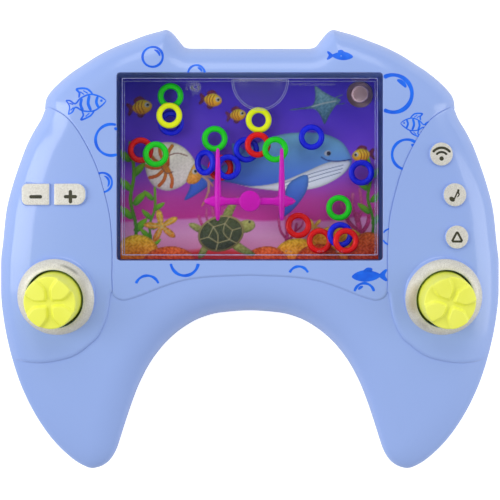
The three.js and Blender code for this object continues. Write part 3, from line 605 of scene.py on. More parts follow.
def frontStrip(spec):
    # A strip between the seam and the outline: point = seam (1 - s) + outline s + w bulge(s), with the
    # bulge of the pad's lower edge fading away on both sides of it
    seam = seamPath(housing["seamGap"])
    upper = np.arcsin(np.linspace(0.8245, 1, 160))
    lower = np.linspace(np.pi / 2, 0, 420)
    x1, x2 = -halfWidth * np.sin(upper), -halfWidth * np.sin(lower)
    edge = np.vstack([
        np.stack([x1, edgeY(housing["topEdge"], x1)], -1),
        np.stack([x2, edgeY(housing["lowerEdge"], x2)], -1),
    ])
    arc = throughPoints(spec["padArc"], 20)
    arc[0] = pointsAt(seam, [lengthNear(seam, arc[0])])[0]
    arcOut = lengthNear(edge, arc[-1])
    arcIn = lengthNear(seam, arc[0])
    arc[-1] = pointsAt(edge, [arcOut])[0]
    seamEnd, edgeEnd = lengthsAlong(seam)[-1], lengthsAlong(edge)[-1]
    knots = [(0, 0, 0), (1, arcIn, arcOut)]
    for k, (onSeam, onEdge) in enumerate(spec["grip"]):
        knots.append((1 + (k + 1) / 4, lengthNear(seam, onSeam), lengthNear(edge, onEdge)))
    knots.append((2, seamEnd, edgeEnd))
    knots = np.asarray(knots)
    u = np.linspace(0, 1, spec["upperLines"])
    v = np.linspace(0, 1, spec["lowerLines"])[1:]
    t = np.concatenate([1 - (1 - u) ** 1.6, 1 + 0.55 * v**1.5 + 0.45 * v])
    a = pointsAt(seam, np.interp(t, knots[:, 0], knots[:, 1]))
    b = pointsAt(edge, np.interp(t, knots[:, 0], knots[:, 2]))
    width = np.linalg.norm(b - a, axis=1)
    lead = 5
    first = np.minimum(spec["seamRound"], width * 0.25)
    ratio = 1 - (1 - np.linspace(0, 1, spec["rows"] - lead + 1)) ** 1.55
    start = first[:, None] * np.linspace(0, 1, lead)[None, :-1]
    rest = first[:, None] + (width - first)[:, None] * ratio[None]
    s = np.concatenate([start, rest], 1) / width[:, None]
    share = np.linspace(0, 1, 200)
    arcLine = pointsAt(arc, share * lengthsAlong(arc)[-1])
    bulge = arcLine - (arc[0] + (arc[-1] - arc[0]) * share[:, None])
    weight = np.where(t <= 1, ramp(1 - (1 - t) / 0.5), np.clip(1 - (t - 1) / 0.3, 0, 1) ** 2)
    lift = np.stack([np.interp(s, share, bulge[:, k]) for k in (0, 1)], -1)
    points = a[:, None] * (1 - s[..., None]) + b[:, None] * s[..., None] + lift * weight[:, None, None]
    fromArc = nearestEdge(points.reshape(-1, 2), arcLine, closed=False)[0].reshape(s.shape)
    rise = spec["padRise"] * quarterRound(fromArc / spec["padEdge"]) * (t <= 1.0001)[:, None]
    fromSeam = s * width[:, None]
    drop = spec["seamRound"] * (quarterRound(fromSeam / spec["seamRound"]) - 1)
    return points, rise, drop


def buildFrontShell(spec):
    points, rise, drop = frontStrip(spec)
    points = np.concatenate([points, rightOf(points)])
    rise = np.concatenate([rise, rise[::-1][1:]])
    drop = np.concatenate([drop, drop[::-1][1:]])
    outer, inner, distance = frontSheets(points, drop)
    outer[..., 2] += rise * ramp(distance / 4.5)
    outer = np.concatenate([outer, outer[:, -1:]], 1)
    inner = np.concatenate([inner, inner[:, -1:]], 1)
    outer[:, -1, 2] = frontStart
    keep = np.ones((outer.shape[0] - 1, outer.shape[1] - 1), bool)
    middle = (outer[1:, 1:] + outer[:-1, :-1]) / 2
    for side in (-1, 1):
        origin, _, axis = pumpFrame(side)
        away = middle - origin
        fromAxis = np.linalg.norm(away - (away @ axis)[..., None] * axis, axis=-1)
        keep &= fromAxis > spec["holeRadius"]
    return piece("front_skin", shell(outer, inner, keep=keep), housingPlastic,
                 stands=["front_shell"])


buildFrontShell(frontShell)
print("front shell done")

# Face plate round the window

facePlate = {
    "rows": 30, "seamRound": 0.85, "seamFall": 0.6, "windowRound": 0.25, "windowGap": 0.3, "proud": 0.5,
    "side": 1.5,
    "across": [  # places on the outer edge, and the places on the window's edge across from them
        ((0, 66.4), (0, 57.6)), ((-21.5, 67.3), (-21.5, 57.6)), ((-27.5, 72.7), (-27, 57.6)),
        ((-49.5, 64.5), (-42.9, 56.9)), ((-66.4, 47.5), (-43.5, 43)), ((-49.5, 24), (-43.5, 24)),
        ((-45.4, 0), (-43.5, 1)), ((-44.4, -15.6), (-42.9, -3.1)), ((-30, -12.6), (-30, -3.75)),
        ((0, -8.8), (0, -3.75)),
    ],
}

tank = {
    "halfWidth": 43.175, "top": 57.275, "bottom": -3.447, "front": 22.8, "back": 9.0, "wall": 1.5,
    "corner": 0.8, "plate": 2.0, "flange": 1.75, "flangeThickness": 1.6, "card": (6.3, 6.7),
    "filler": (36.725, 51.575), "neckEnd": 3.9, "neckRadii": (3.1, 4.1), "edgeRound": 0.35,
    "bossY": 15.68, "boss": (3.0, 16.2), "bossPin": (1.2, 17.9),  # radius, and height of its end
}


def tankLoop(growth, steps=8):
    r = max(0.35, tank["corner"] + growth)
    w = tank["halfWidth"] + growth
    return roundedLoop(-w, w, tank["bottom"] - growth, tank["top"] + growth, r, steps)


def plateEdges(spec):
    # The left half of both edges, from the top in the middle anticlockwise to the bottom in the middle
    x = -halfWidth * np.sin(np.linspace(0, np.arcsin(0.8215), 260))
    x = np.unique(np.concatenate([x, -halfWidth * np.linspace(0.816, 0.8215, 12)]))[::-1]
    top = np.stack([x, edgeY(housing["topEdge"], x)], -1)
    shoulder = housing["seam"][0][1] * halfHeight
    seam = seamPath()
    step = np.linspace([top[-1, 0], shoulder], seam[0], 6)[:-1]
    outer = np.vstack([top, step, seam])
    loop = tankLoop(spec["windowGap"], 10)
    left = loop[loop[:, 0] < 1e-6]
    inner = np.vstack([[0, left[0, 1]], left, [0, left[-1, 1]]])
    return outer, inner, len(top) + len(step) / 2


def buildFacePlate(spec):
    outerEdge, innerEdge, cornerIndex = plateEdges(spec)
    fineEdge = pointsAt(innerEdge, np.linspace(0, lengthsAlong(innerEdge)[-1], 2000))
    knots = np.asarray([(lengthNear(outerEdge, a), lengthNear(fineEdge, b)) for a, b in spec["across"]])
    knots[0] = 0
    knots[-1] = lengthsAlong(outerEdge)[-1], lengthsAlong(innerEdge)[-1]
    along = lengthsAlong(outerEdge)
    even = np.linspace(0, along[-1], 190)
    cornerAlong = np.interp(cornerIndex, np.arange(len(along)), along)
    close = cornerAlong + np.linspace(-1.5, 1.5, 13)
    lengths = np.unique(np.concatenate([even, close]))
    b = pointsAt(outerEdge, lengths)
    a = pointsAt(innerEdge, np.interp(lengths, knots[:, 0], knots[:, 1]))
    a, b = np.concatenate([a, rightOf(a)])[:-1], np.concatenate([b, rightOf(b)])[:-1]
    width = np.linalg.norm(b - a, axis=1)
    lead, tail = 4, 6
    first = np.minimum(spec["windowRound"], width * 0.2)
    last = np.minimum(spec["seamRound"], width * 0.2)
    ratio = 1 - (1 - np.linspace(0, 1, spec["rows"] - lead - tail)) ** 1.3
    start = first[:, None] * np.linspace(0, 1, lead)[None, :-1]
    rest = first[:, None] + (width - first - last)[:, None] * ratio[None]
    end = width[:, None] - last[:, None] * np.linspace(1, 0, tail)[None, 1:]
    reach = np.concatenate([start, rest, end], 1)
    s = reach / width[:, None]
    points = a[:, None] * (1 - s[..., None]) + b[:, None] * s[..., None]
    seamLine = seamPath()
    seamLine = np.vstack([seamLine, rightOf(seamLine)])
    fromSeam = nearestEdge(points.reshape(-1, 2), seamLine, closed=False)[0].reshape(s.shape)
    drop = -spec["seamFall"] * np.clip(1 - fromSeam / spec["seamRound"], 0, 1) ** 2
    drop += spec["windowRound"] * (quarterRound(reach / spec["windowRound"]) - 1)
    outer, inner, distance = frontSheets(points, drop)
    outer[..., 2] += spec["proud"] * ramp(distance / 5)
    onSeam = fromSeam[:, -1] < 0.02
    outer = np.concatenate([outer, outer[:, -1:]], 1)
    inner = np.concatenate([inner, inner[:, -1:]], 1)
    outer[:, -1, 2] = np.where(onSeam & (distance[:, -1] > 0.5), outer[:, -1, 2] - spec["side"], frontStart)
    inner[..., 2] = np.minimum(inner[..., 2], outer[..., 2])
    return piece("face_plate", shell(outer, inner, closed=True), housingPlastic,
                 stands=["centre_bezel"])


buildFacePlate(facePlate)
print("face plate done")


def plateHeight(x, y):
    # The front's height and the plate's rise over it, which fades away near the outline
    points = np.stack([np.ravel(x), np.ravel(y)], -1)
    distance = nearestEdge(points, outline)[0].reshape(np.shape(x))
    return frontHeight(x, y, distance) + facePlate["proud"] * ramp(distance / 5)


# Rear shell

rearShell = {
    "columns": 300, "rows": 84, "screwHole": 3.1, "fillerHole": 5.1, "margin": 0.45, "hollow": 0.06,
    "hollowReach": 2.4, "rimWidth": 1.3, "rimDepth": 2.4, "rimRound": 0.25,
}
screws = {
    "places": [(31.02, 63.475), (52.47, 7.997), (56.0175, -50.0176)], "head": 2.8, "headThickness": 1.8,
    "radius": 1.3, "length": 11.0, "recess": 1.1, "boss": 4.0, "bossHeight": 7.0, "crossHalf": 0.42,
    "crossReach": 1.75, "crossDepth": 1.0, "threadPitch": 1.05,
}


def buildRearShell(spec):
    # Columns over the width, each from the lower to the upper edge: z = 9 (1 - round of the distance)
    angles = outlineAngles(spec["columns"])
    x = halfWidth * np.sin(angles)
    low, high = edgeY(housing["lowerEdge"], x), edgeY(housing["topEdge"], x)
    share = (1 - np.cos(np.pi * np.linspace(0, 1, spec["rows"]))) / 2
    y = low[:, None] + (high - low)[:, None] * share[None]
    p = np.stack([np.broadcast_to(x[:, None], y.shape), y], -1)
    p = np.pad(p, ((1, 1), (1, 1), (0, 0)), mode="edge")
    distance, nearest, inward = nearestEdge(p.reshape(-1, 2), outline)
    wall = housing["wall"]
    height = rearFoot * (1 - edgeRound(distance))
    inside = np.where((distance < wall)[:, None], nearest + inward * wall, p.reshape(-1, 2))
    above = np.minimum(rearEnd, rearFoot * (1 - edgeRound(np.maximum(distance, wall) - wall)) + wall)
    above = np.where(distance < wall, rearEnd, above)
    outer = np.concatenate([p.reshape(-1, 2), height[:, None]], 1).reshape(*p.shape[:2], 3)
    inner = np.concatenate([inside, above[:, None]], 1).reshape(*p.shape[:2], 3)
    border = np.ones(p.shape[:2], bool)
    border[1:-1, 1:-1] = False
    outer[..., 2] = np.where(border, rearEnd, outer[..., 2])
    middle = (outer[1:, 1:] + outer[:-1, :-1]) / 2
    keep = np.ones(middle.shape[:2], bool)
    cut, fillerCut = spec["screwHole"] + spec["margin"], spec["fillerHole"] + spec["margin"]
    holes = [(side * sx, sy, cut) for sx, sy in screws["places"] for side in (-1, 1)]
    holes.append((*tank["filler"], fillerCut))
    for hx, hy, radius in holes:  # a slight hollow round each hole lets its rim stand out
        keep &= np.hypot(middle[..., 0] - hx, middle[..., 1] - hy) > radius
        away = np.hypot(outer[..., 0] - hx, outer[..., 1] - hy)
        outer[..., 2] += spec["hollow"] * ramp(radius + spec["hollowReach"] - away)
    return piece("rear_skin", shell(inner, outer, keep=keep), housingPlastic,
                 stands=["rear_shell"])


buildRearShell(rearShell)


def buildRearWells():
    # Each hole's rim and wall are turned: a flat rim over the cut in the shell, rounded into the hole
    depth = screws["recess"] + screws["headThickness"] + 0.3
    hole, boss = rearShell["screwHole"], screws["boss"] + 0.35
    bore, end = screws["radius"] + 0.3, screws["bossHeight"]
    profile = rounded([
        (boss, 0.6), (boss, -0.02), (hole, -0.02), (hole, depth), (bore, depth), (bore, end), (boss, end),
        (boss, 0.6),
    ], rearShell["rimRound"])
    parts = [
        moved(turned(profile, 48), (side * x, y, 0.02)) for x, y in screws["places"] for side in (-1, 1)
    ]
    hole, depth = rearShell["fillerHole"], rearShell["rimDepth"]
    wide = hole + rearShell["rimWidth"]
    rim = rounded([
        (wide, 1.0), (wide, -0.02), (hole, -0.02), (hole, depth), (wide, depth), (wide, 1.0),
    ], rearShell["rimRound"])
    parts.append(moved(turned(rim, 64), (*tank["filler"], 0.02)))
    return piece("rear_wells", together(parts), housingPlastic,
                 stands=["rear_shell"])


buildRearWells()
print("rear shell done")

# Collars and their foil

collarFoil = {
    "inner": 9.72, "outer": 12.88, "thick": 0.05, "edge": 0.12,
    "foot": [(12.95, -2.55), (13.02, -3.0), (13.15, -3.35), (13.45, -3.65), (13.95, -3.9), (14.5, -4.5)],
    "shadeAndWear": {  # of each collar: angle, radius, length and width of a darker mark, its colour and strength; the marks are painted shade and worn foil
        "left": [(62, 11.4, 7.0, 0.4, (104, 106, 96), 0.75), (20, 11.2, 9.0, 1.0, (178, 176, 166), 0.5)],
        "right": [(178, 11.0, 10.5, 1.5, (160, 142, 88), 0.6), (228, 11.2, 5.0, 0.8, (166, 160, 150), 0.4)],
    },
}


def silverFoil(name, spec):
    # Hot-stamped foil: pale metal with a fine sparkle of grains, dulled in worn patches
    material, tree, output = newMaterial(name)
    place = objectPlace(tree)
    grains = add(tree, "ShaderNodeTexVoronoi", {"Scale": spec["grain"]}, {"Vector": place})
    tone = steps(tree, grains.outputs["Color"], [
        (0.2, rgba(spec["dark"])), (0.75, rgba(spec["light"])),
    ])
    blotch = noise(tree, 420, 5, 0.65, place)
    worn = steps(tree, blotch, [(0.5, grey(0)), (0.74, grey(0.5))])
    base = mixColour(tree, worn, tone, rgba(spec["worn"]))
    # The paint attribute holds the collars' painted shade and worn marks
    if spec.get("painted"):
        paint = add(tree, "ShaderNodeAttribute", attribute_name="paint").outputs
        base = mixColour(tree, paint["Alpha"], base, paint["Color"])
    bump = add(tree, "ShaderNodeBump", {"Strength": 0.25, "Distance": 0.0001},
               {"Height": noise(tree, 4200, 3, 0.7, place)})
    shader = add(tree, "ShaderNodeBsdfPrincipled", {"Metallic": spec["metal"], "Specular IOR Level": 0.5}, {
        "Base Color": base,
        "Roughness": steps(tree, blotch, [(0.3, grey(0.3)), (0.7, grey(0.5))]),
        "Normal": bump.outputs["Normal"],
    })
    tree.links.new(shader.outputs["BSDF"], output.inputs["Surface"])
    return material


silver = {
    "dark": (206, 203, 194), "light": (225, 223, 214), "worn": (214, 208, 196), "grain": 3400, "metal": 0.15,
}
foilMaterial = silverFoil("silver_foil", silver)
collarFoilMaterial = silverFoil("collar_foil", {**silver, "painted": True})


def collarTop(radius):
    # The dome round the bore: it falls with the square of the way outwards
    share = (np.asarray(radius) - pump["collarBore"]) / (pump["collarRadius"] - pump["collarBore"])
    return -pump["fall"] * np.maximum(share, 0) ** 2


def shadeAndWearPaint(points, marks):
    # Colour and strength of the darker marks, painted shade and worn foil: each fades with its distances
    # along and across an arc
    angle = np.degrees(np.arctan2(points[:, 1], points[:, 0]))
    radius = np.hypot(points[:, 0], points[:, 1])
    paint = np.zeros((len(points), 4))
    for at, middle, length, width, colour, strength in marks:
        around = np.radians((angle - at + 180) % 360 - 180) * middle
        fade = np.exp(-(((radius - middle) / width) ** 2))
        cover = strength * ramp(1.4 - np.abs(around) / (length / 2)) * fade
        better = cover > paint[:, 3]
        paint[better, :3] = linear(colour)
        paint[better, 3] = cover[better]
    return paint


def buildCollar(side, word):
    # The collar and its foil are turned profiles, leaning with the pump
    origin, basis, _ = pumpFrame(side)
    inner, outer = pump["collarBore"], pump["collarRadius"]
    across = np.linspace(inner + 0.1, outer, 22)
    top = np.stack([across, collarTop(across)], -1)
    profile = np.vstack([
        [(inner, -pump["depth"]), (inner, -0.22), (inner + 0.03, -0.07)], top, collarFoil["foot"],
        [(outer, -pump["depth"]), (inner, -pump["depth"])],
    ])
    piece(f"{word}_collar", moved(turned(profile, 160), origin, basis), housingPlastic,
          stands=["front_shell"])
    foil = np.linspace(collarFoil["inner"], collarFoil["outer"], 34)
    toInner, toOuter = (foil - foil[0]) / collarFoil["edge"], (foil[-1] - foil) / collarFoil["edge"]
    lift = collarFoil["thick"] * quarterRound(toInner) * quarterRound(toOuter)
    skin = np.stack([foil, collarTop(foil) + lift + 0.005], -1)
    under = np.stack([foil, collarTop(foil) - 0.01], -1)[::-1]
    ring = turned(np.vstack([skin, under, skin[:1]]), 240)
    piece(f"{word}_collar_foil", moved(ring, origin, basis), collarFoilMaterial, stands=["front_shell"],
          sharp=60, colours=shadeAndWearPaint(ring[0], collarFoil["shadeAndWear"][word]))


for side, word in bothSides:
    buildCollar(side, word)
print("collars done")

# Knobs

knob = {
    "radius": 9.05, "topRadius": 8.65, "height": 6.9, "wall": 1.4, "topThickness": 1.5, "flange": 11.0,
    "flangeThickness": 1.1, "petalHeight": 1.3, "channel": 0.4, "flareStart": 5.25, "slope": 0.9,
    "blend": 0.4, "rimRound": 0.5, "rimZone": 0.7, "footDepth": 0.3, "cornerRound": 0.35,
    "turns": {"left": 4.0, "right": -20.0},
}
knobPlastic = mouldedPlastic("knob_plastic", {
    "dark": (242, 246, 86), "light": (250, 254, 106), "rough": 0.42, "specular": 0.4, "bump": 0.06,
    "milk": 0.12, "drift": 60,
})


def softLeast(values, blend):
    # A least value with its corners blended: minus the blend times the logarithm of summed powers
    total = sum(np.exp(-np.asarray(v) / blend) for v in values)
    return -blend * np.log(total)


def petalHeight(x, y, spec):
    # Height over the knob's floor: each quadrant's petal rises over a slope from the channel's sides,
    # which open out towards the rim, and from the rim itself
    u, v = np.abs(x), np.abs(y)
    channel = spec["channel"]
    flares = [(b - channel - (a - spec["flareStart"])) / math.sqrt(2) for a, b in ((u, v), (v, u))]
    inside = softLeast([u - channel, v - channel, *flares], spec["blend"])
    rim = spec["topRadius"] - np.hypot(x, y)
    share = inside / spec["slope"]
    side = (ramp(share) + np.clip(share, 0, 1)) / 2
    return side * quarterRound(rim / spec["rimRound"])


def buildKnob(side, word, spec):
    # The petals are a height over a disc, and the sides and the inside are a turned profile
    origin, basis, _ = pumpFrame(side)
    turn = math.radians(spec["turns"][word])
    radius, top, height = spec["radius"], spec["topRadius"], spec["height"]
    angles = fullTurn(256)[:, None]
    zone = spec["rimZone"]
    towardsRim = (1 - np.linspace(0, 1, 15)[1:]) ** 2
    topRadii = np.concatenate([np.linspace(0, top - zone, 64), top - zone * towardsRim])
    x, y = topRadii[None] * np.cos(angles), topRadii[None] * np.sin(angles)
    rim = top - topRadii[None]
    floor = height - spec["rimRound"] * (1 - quarterRound(rim / spec["rimRound"]))
    z = floor + spec["petalHeight"] * petalHeight(x, y, spec)
    face = np.stack([x, y, z], -1)
    foot = -pump["depth"] - spec["footDepth"]
    bore, under = radius - spec["wall"], height - spec["topThickness"]
    below = rounded([
        (top, height - spec["rimRound"]), (radius, foot), (spec["flange"], foot),
        (spec["flange"], foot - spec["flangeThickness"]), (bore, foot - spec["flangeThickness"]),
        (top - spec["wall"], under), (0, under),
    ], spec["cornerRound"])[1:]
    sides = turned(below, 256)[0].reshape(256, len(below), 3)
    points = np.concatenate([face, sides], 1)
    c, s = math.cos(turn), math.sin(turn)
    spin = np.array([[c, -s, 0], [s, c, 0], [0, 0, 1]])
    part = moved(grid(points, closed=True), basis=spin)
    piece(f"{word}_knob_cap", moved(part, origin, basis), knobPlastic, body=f"{word}_knob",
          stands=[f"{word}_knob"], sharp=70)


for side, word in bothSides:
    buildKnob(side, word, knob)
print("knobs done")

# Small buttons, moulded on the wings, with silver tops and dark marks

buttons = {
    "rise": 1.5, "lean": 0.14, "radius": 3.85, "roundDome": 0.1, "barDome": 0.06,
    "round": [(62.535, 30.970), (66.99, 17.702), (67.70, 3.897)],
    "bars": (-64.647, 17.848), "barHeight": 7.1, "barWidths": (9.4, 10.6), "barGap": 1.3,
    "outerCorners": (2.0, 3.0), "innerCorner": 0.5, "leastCorner": 0.15,
    "foot": [(0.25, -2.5), (0.7, -0.5), (0.45, 0.1), (0.18, 0.45)],  # growth, height over the wing
    "rim": [(0.06, -0.5), (0.02, -0.22), (-0.02, -0.09), (-0.08, -0.02), (-0.18, 0.0)],  # from the top
    "foil": [(-0.16, -0.06), (-0.09, -0.02), (-0.11, 0.03), (-0.2, 0.055)],
}


def wingFrame(x, y):
    # Middle of a button's top, and the turn that leans it outwards with the wing
    lean = math.copysign(buttons["lean"], x)
    return np.array([x, y, float(plateau(x, y)) + buttons["rise"]]), leaning((lean, 0, 1))


def domedStack(loopAt, levels, dome, steps=7):
    # Rings of a growth and a height laid over each other, closed on top by a low dome
    rings = [atHeight(loopAt(growth), height) for growth, height in levels]
    top = rings[-1]
    middle = top.mean(axis=0)
    inwards = np.linspace(1, 0, steps)[1:, None, None]
    domeRings = middle + (top - middle)[None] * inwards
    domeRings[..., 2] = top[0, 2] + dome * (1 - inwards[..., 0] ** 2)
    rings = np.concatenate([[np.broadcast_to(rings[0].mean(axis=0), rings[0].shape)], rings, domeRings])
    return grid(rings.transpose(1, 0, 2), closed=True)


def circleLoop(radius, steps=72):
    angle = fullTurn(steps)
    return np.stack([radius * np.cos(angle), radius * np.sin(angle)], -1)


def buildButtons(spec):
    bodies, foils = [], []
    levels = [(growth, height - spec["rise"]) for growth, height in spec["foot"]] + spec["rim"]

    def addButton(x, y, loopAt, dome):
        origin, basis = wingFrame(x, y)
        bodies.append(moved(domedStack(loopAt, levels, dome), origin, basis))
        foils.append(moved(domedStack(loopAt, spec["foil"], dome), origin, basis))

    def roundLoop(growth):
        return circleLoop(spec["radius"] + growth)

    for x, y in spec["round"]:
        addButton(x, y, roundLoop, spec["roundDome"])
    gapX, y = spec["bars"]
    inner = spec["innerCorner"]
    for side, width, corner in zip((-1, 1), spec["barWidths"], spec["outerCorners"]):
        x = gapX + side * (spec["barGap"] + width) / 2
        corners = np.array([corner, inner, inner, corner] if side > 0 else [inner, corner, corner, inner])
        half = np.array([width, spec["barHeight"]]) / 2

        def barLoop(growth):
            w, h = half + growth
            return roundedLoop(-w, w, -h, h, np.maximum(spec["leastCorner"], corners + growth), 10)

        addButton(x, y, barLoop, spec["barDome"])
    piece("button_bodies", together(bodies), housingPlastic, stands=["front_shell"])
    piece("button_foils", together(foils), foilMaterial, stands=["front_shell"], sharp=60)


buildButtons(buttons)

inkMaterial = mouldedPlastic("mark_ink", {
    "dark": (48, 50, 34), "light": (64, 62, 40), "rough": 0.45, "specular": 0.35, "bump": 0.1, "drift": 300,
})


def sheet(points, height, thick, closed=False):
    # Two sheets over a grid of x and y: a thickness over a height, and a little under it
    z = height(points[..., 0], points[..., 1])
    return shell(atHeight(points, z + thick), atHeight(points, z - 0.02), closed)


def ribbon(path, widths, height, thick=0.04):
    # A flat band along a path: its edges lie half a width to both sides, square to the path
    path = np.asarray(path, float)
    widths = np.broadcast_to(np.asarray(widths, float), (len(path),))
    along = np.gradient(path, axis=0)
    along /= np.maximum(np.linalg.norm(along, axis=1, keepdims=True), 1e-9)
    across = np.stack([-along[:, 1], along[:, 0]], -1)
    share = np.linspace(-0.5, 0.5, 4)[None, :, None]
    return sheet(path[:, None] + across[:, None] * widths[:, None, None] * share, height, thick)


def bluntWidths(count, width, ends=0.12):
    # Full width along the band, rounded off at both ends
    s = np.linspace(0, 1, count)
    return width * np.maximum(0.05, quarterRound(np.minimum(s, 1 - s) / ends))


def slab(loop, height, thick=0.04, rings=4):
    # A flat patch inside a closed loop, drawn in to its middle
    loop = np.asarray(loop, float)
    middle = loop.mean(axis=0)
    share = np.linspace(1, 0, rings)[:, None, None]
    return sheet((middle + (loop - middle)[None] * share).transpose(1, 0, 2), height, thick, closed=True)


def arcPath(cx, cy, radius, start, end, count=40):
    # Part of a circle between two angles in degrees
    angle = np.radians(np.linspace(start, end, count))
    return np.stack([cx + radius * np.cos(angle), cy + radius * np.sin(angle)], -1)


marks = {
    "barLength": 4.3, "barWidth": 1.15, "barShift": (0.1, -0.8), "plusReach": 4.4, "plusShift": (0.25, -0.8),
    "dot": (0.72, -1.45), "waves": [(2.15, 0.72), (3.55, 0.8)], "waveStart": -1.5, "waveAngles": (35, 145),
    "noteTilt": -35.0, "noteHead": ((1.0, 0.72), (-1.0, -1.45)), "noteStem": ((-0.25, -1.3), (1.2, 1.75)),
    "noteFlag": [(1.15, 1.7), (1.0, 0.8), (1.35, 0.1), (0.75, -0.8)], "noteWidths": (0.48, 0.75, 0.25),
    "triangle": [(-1.75, -1.45), (1.75, -1.45), (0, 1.75)], "triangleWidth": 0.72,
    "barLevel": 0.1, "roundLevel": 0.13, "over": 0.045,
}


def buildMarks(spec):
    parts = []

    def onWing(x, y, shapes):
        origin, basis = wingFrame(x, y)
        parts.extend(moved(shape, origin, basis) for shape in shapes)

    def line(start, end):
        return np.linspace(start, end, 40)

    def onBar(x, y):
        return np.full(np.shape(x), spec["barLevel"])

    def onRound(x, y):
        return np.full(np.shape(x), spec["roundLevel"])

    gapX, barY = buttons["bars"]
    minusX, plusX = [
        gapX + side * (buttons["barGap"] + width) / 2 for side, width in zip((-1, 1), buttons["barWidths"])
    ]
    width = bluntWidths(40, spec["barWidth"], 0.14)
    half, reach = spec["barLength"] / 2, spec["plusReach"] / 2
    x, y = spec["barShift"]
    onWing(minusX, barY, [ribbon(line((x - half, y), (x + half, y)), width, onBar)])
    x, y = spec["plusShift"]
    onWing(plusX, barY, [
        ribbon(line((x - reach, y), (x + reach, y)), width, onBar),
        ribbon(line((x, y - reach), (x, y + reach)), width, onBar, spec["over"]),
    ])
    waveAt, noteAt, triangleAt = buttons["round"]
    radius, y = spec["dot"]
    dot = slab(circleLoop(radius, 32) + (0, y), onRound)
    onWing(*waveAt, [dot, *[
        ribbon(arcPath(0, spec["waveStart"], r, *spec["waveAngles"]), bluntWidths(40, w, 0.06), onRound)
        for r, w in spec["waves"]
    ]])
    headSize, headPlace = spec["noteHead"]
    flag = throughPoints(spec["noteFlag"], 10)
    stemWidth, flagStart, flagEnd = spec["noteWidths"]
    onWing(*noteAt, [
        slab((circleLoop(1.0, 32) * headSize) @ turnedBy(spec["noteTilt"]) + headPlace, onRound),
        ribbon(np.linspace(*spec["noteStem"], 30), stemWidth, onRound),
        ribbon(flag, np.linspace(flagStart, flagEnd, len(flag)), onRound, spec["over"]),
    ])
    corners = spec["triangle"]
    onWing(*triangleAt, [
        ribbon(line(a, b), bluntWidths(40, spec["triangleWidth"], 0.1), onRound)
        for a, b in zip(corners, corners[1:] + corners[:1])
    ])
    piece("button_marks", together(parts), inkMaterial, stands=["front_shell"], sharp=60)


buildMarks(marks)
print("buttons done")

# Blue print on the face plate: bubbles and fish

printMaterial = mouldedPlastic("print_ink", {
    "dark": (0, 92, 230), "light": (8, 112, 248), "rough": 0.35, "specular": 0.45, "bump": 0.08, "drift": 240,
})
facePrint = {
    "bubbles": [  # middle, radius, line width, first and last angle, and the same for a highlight
        (-31.7, 62.7, 3.3, 0.62, 0, 360, (2.35, 5, 78)), (-17.4, 57.3, 2.7, 0.6, 4, 176, (1.9, 15, 80)),
        (-45.2, 35.6, 5.1, 0.75, 71, 292, (3.9, 60, 76)), (-48.1, 21.7, 3.15, 0.6, -112, 118, (2.2, -40, 75)),
        (-21.3, -4.2, 4.5, 0.8, 187, 353, None), (-33.5, -12.6, 3.9, 0.7, 20, 160, None),
        (46.8, 50.7, 6.1, 1.1, -121, 121, (4.6, 25, 75)), (51.3, 30.8, 4.9, 0.75, 52, 265, (3.6, 45, 68)),
        (45.9, 4.0, 2.6, 0.45, 75, 150, None), (45.9, 4.0, 2.6, 0.45, 205, 285, None),
        (16.0, -8.9, 3.2, 0.7, 22, 158, None), (37.4, -14.4, 3.2, 0.7, 10, 170, (2.2, 100, 150)),
    ],
    "wider": 1.2, "thick": 0.025,
    "silhouettes": [(29.6, 62.9, 0.95, 1, -4), (38.9, -8.9, 1.3, -1, 3)],  # x, y, size, facing, turn
    "drawings": [(-52.9, 47.3, 1.0, 1, 8), (53.7, 40.4, 0.74, -1, -6)],
    "silhouette": [  # closed patches of a fish that faces right
        [(4.3, 0.1), (3.0, 1.15), (0.8, 1.6), (-1.6, 1.05), (-3.0, 0.1), (-1.6, -0.95), (0.8, -1.35),
         (3.1, -0.85)],
        [(-2.5, 0.25), (-4.1, 1.5), (-4.7, 1.3), (-4.1, 0.1), (-4.6, -1.2), (-4.0, -1.4), (-2.5, -0.25)],
        [(1.4, 1.3), (0.3, 2.2), (-0.9, 1.9), (-0.6, 1.1)],
    ],
    "strokes": [  # lines of a finned fish that faces right, each with its width
        (0.55, [(6.2, 0.2), (4.2, 1.9), (1.2, 3.0), (-2.0, 2.2), (-4.0, 0.7), (-5.6, 1.9), (-7.0, 2.3)]),
        (0.55, [(6.2, 0.2), (4.6, -1.1), (1.6, -2.5), (-1.8, -2.0), (-4.0, -0.5), (-5.4, -1.9),
                (-6.8, -2.5)]),
        (0.45, [(-7.0, 2.3), (-6.0, 0.1), (-6.8, -2.5)]),
        (0.7, [(2.2, 2.9), (0.3, 5.0), (-2.9, 5.4), (-2.2, 4.0), (-2.6, 2.4)]),
        (0.6, [(2.0, -2.4), (0.2, -4.0), (-2.8, -4.8), (-1.9, -3.4), (-2.2, -1.9)]),
        (0.9, [(3.6, 2.0), (2.9, 0.2), (3.4, -1.7)]),
        (1.0, [(1.0, 2.8), (0.2, 0.2), (0.8, -2.3)]),
        (0.9, [(-1.6, 2.2), (-2.3, 0.1), (-1.8, -1.9)]),
        (0.4, [(0.6, 3.4), (-0.9, 4.6)]), (0.4, [(-0.7, 3.2), (-1.9, 4.4)]),
        (0.4, [(0.2, -3.0), (-1.3, -4.0)]), (0.4, [(-4.7, 0.5), (-6.0, 1.2)]),
        (0.4, [(-4.7, -0.4), (-5.9, -1.3)]),
    ],
    "eye": (4.6, 0.45, 0.42),
}


def printedAt(points, x, y, size, facing, turn):
    # A drawing's points at their place on the face: mirrored and sized, turned, then moved
    return (np.asarray(points) * (facing * size, size)) @ turnedBy(turn) + (x, y)


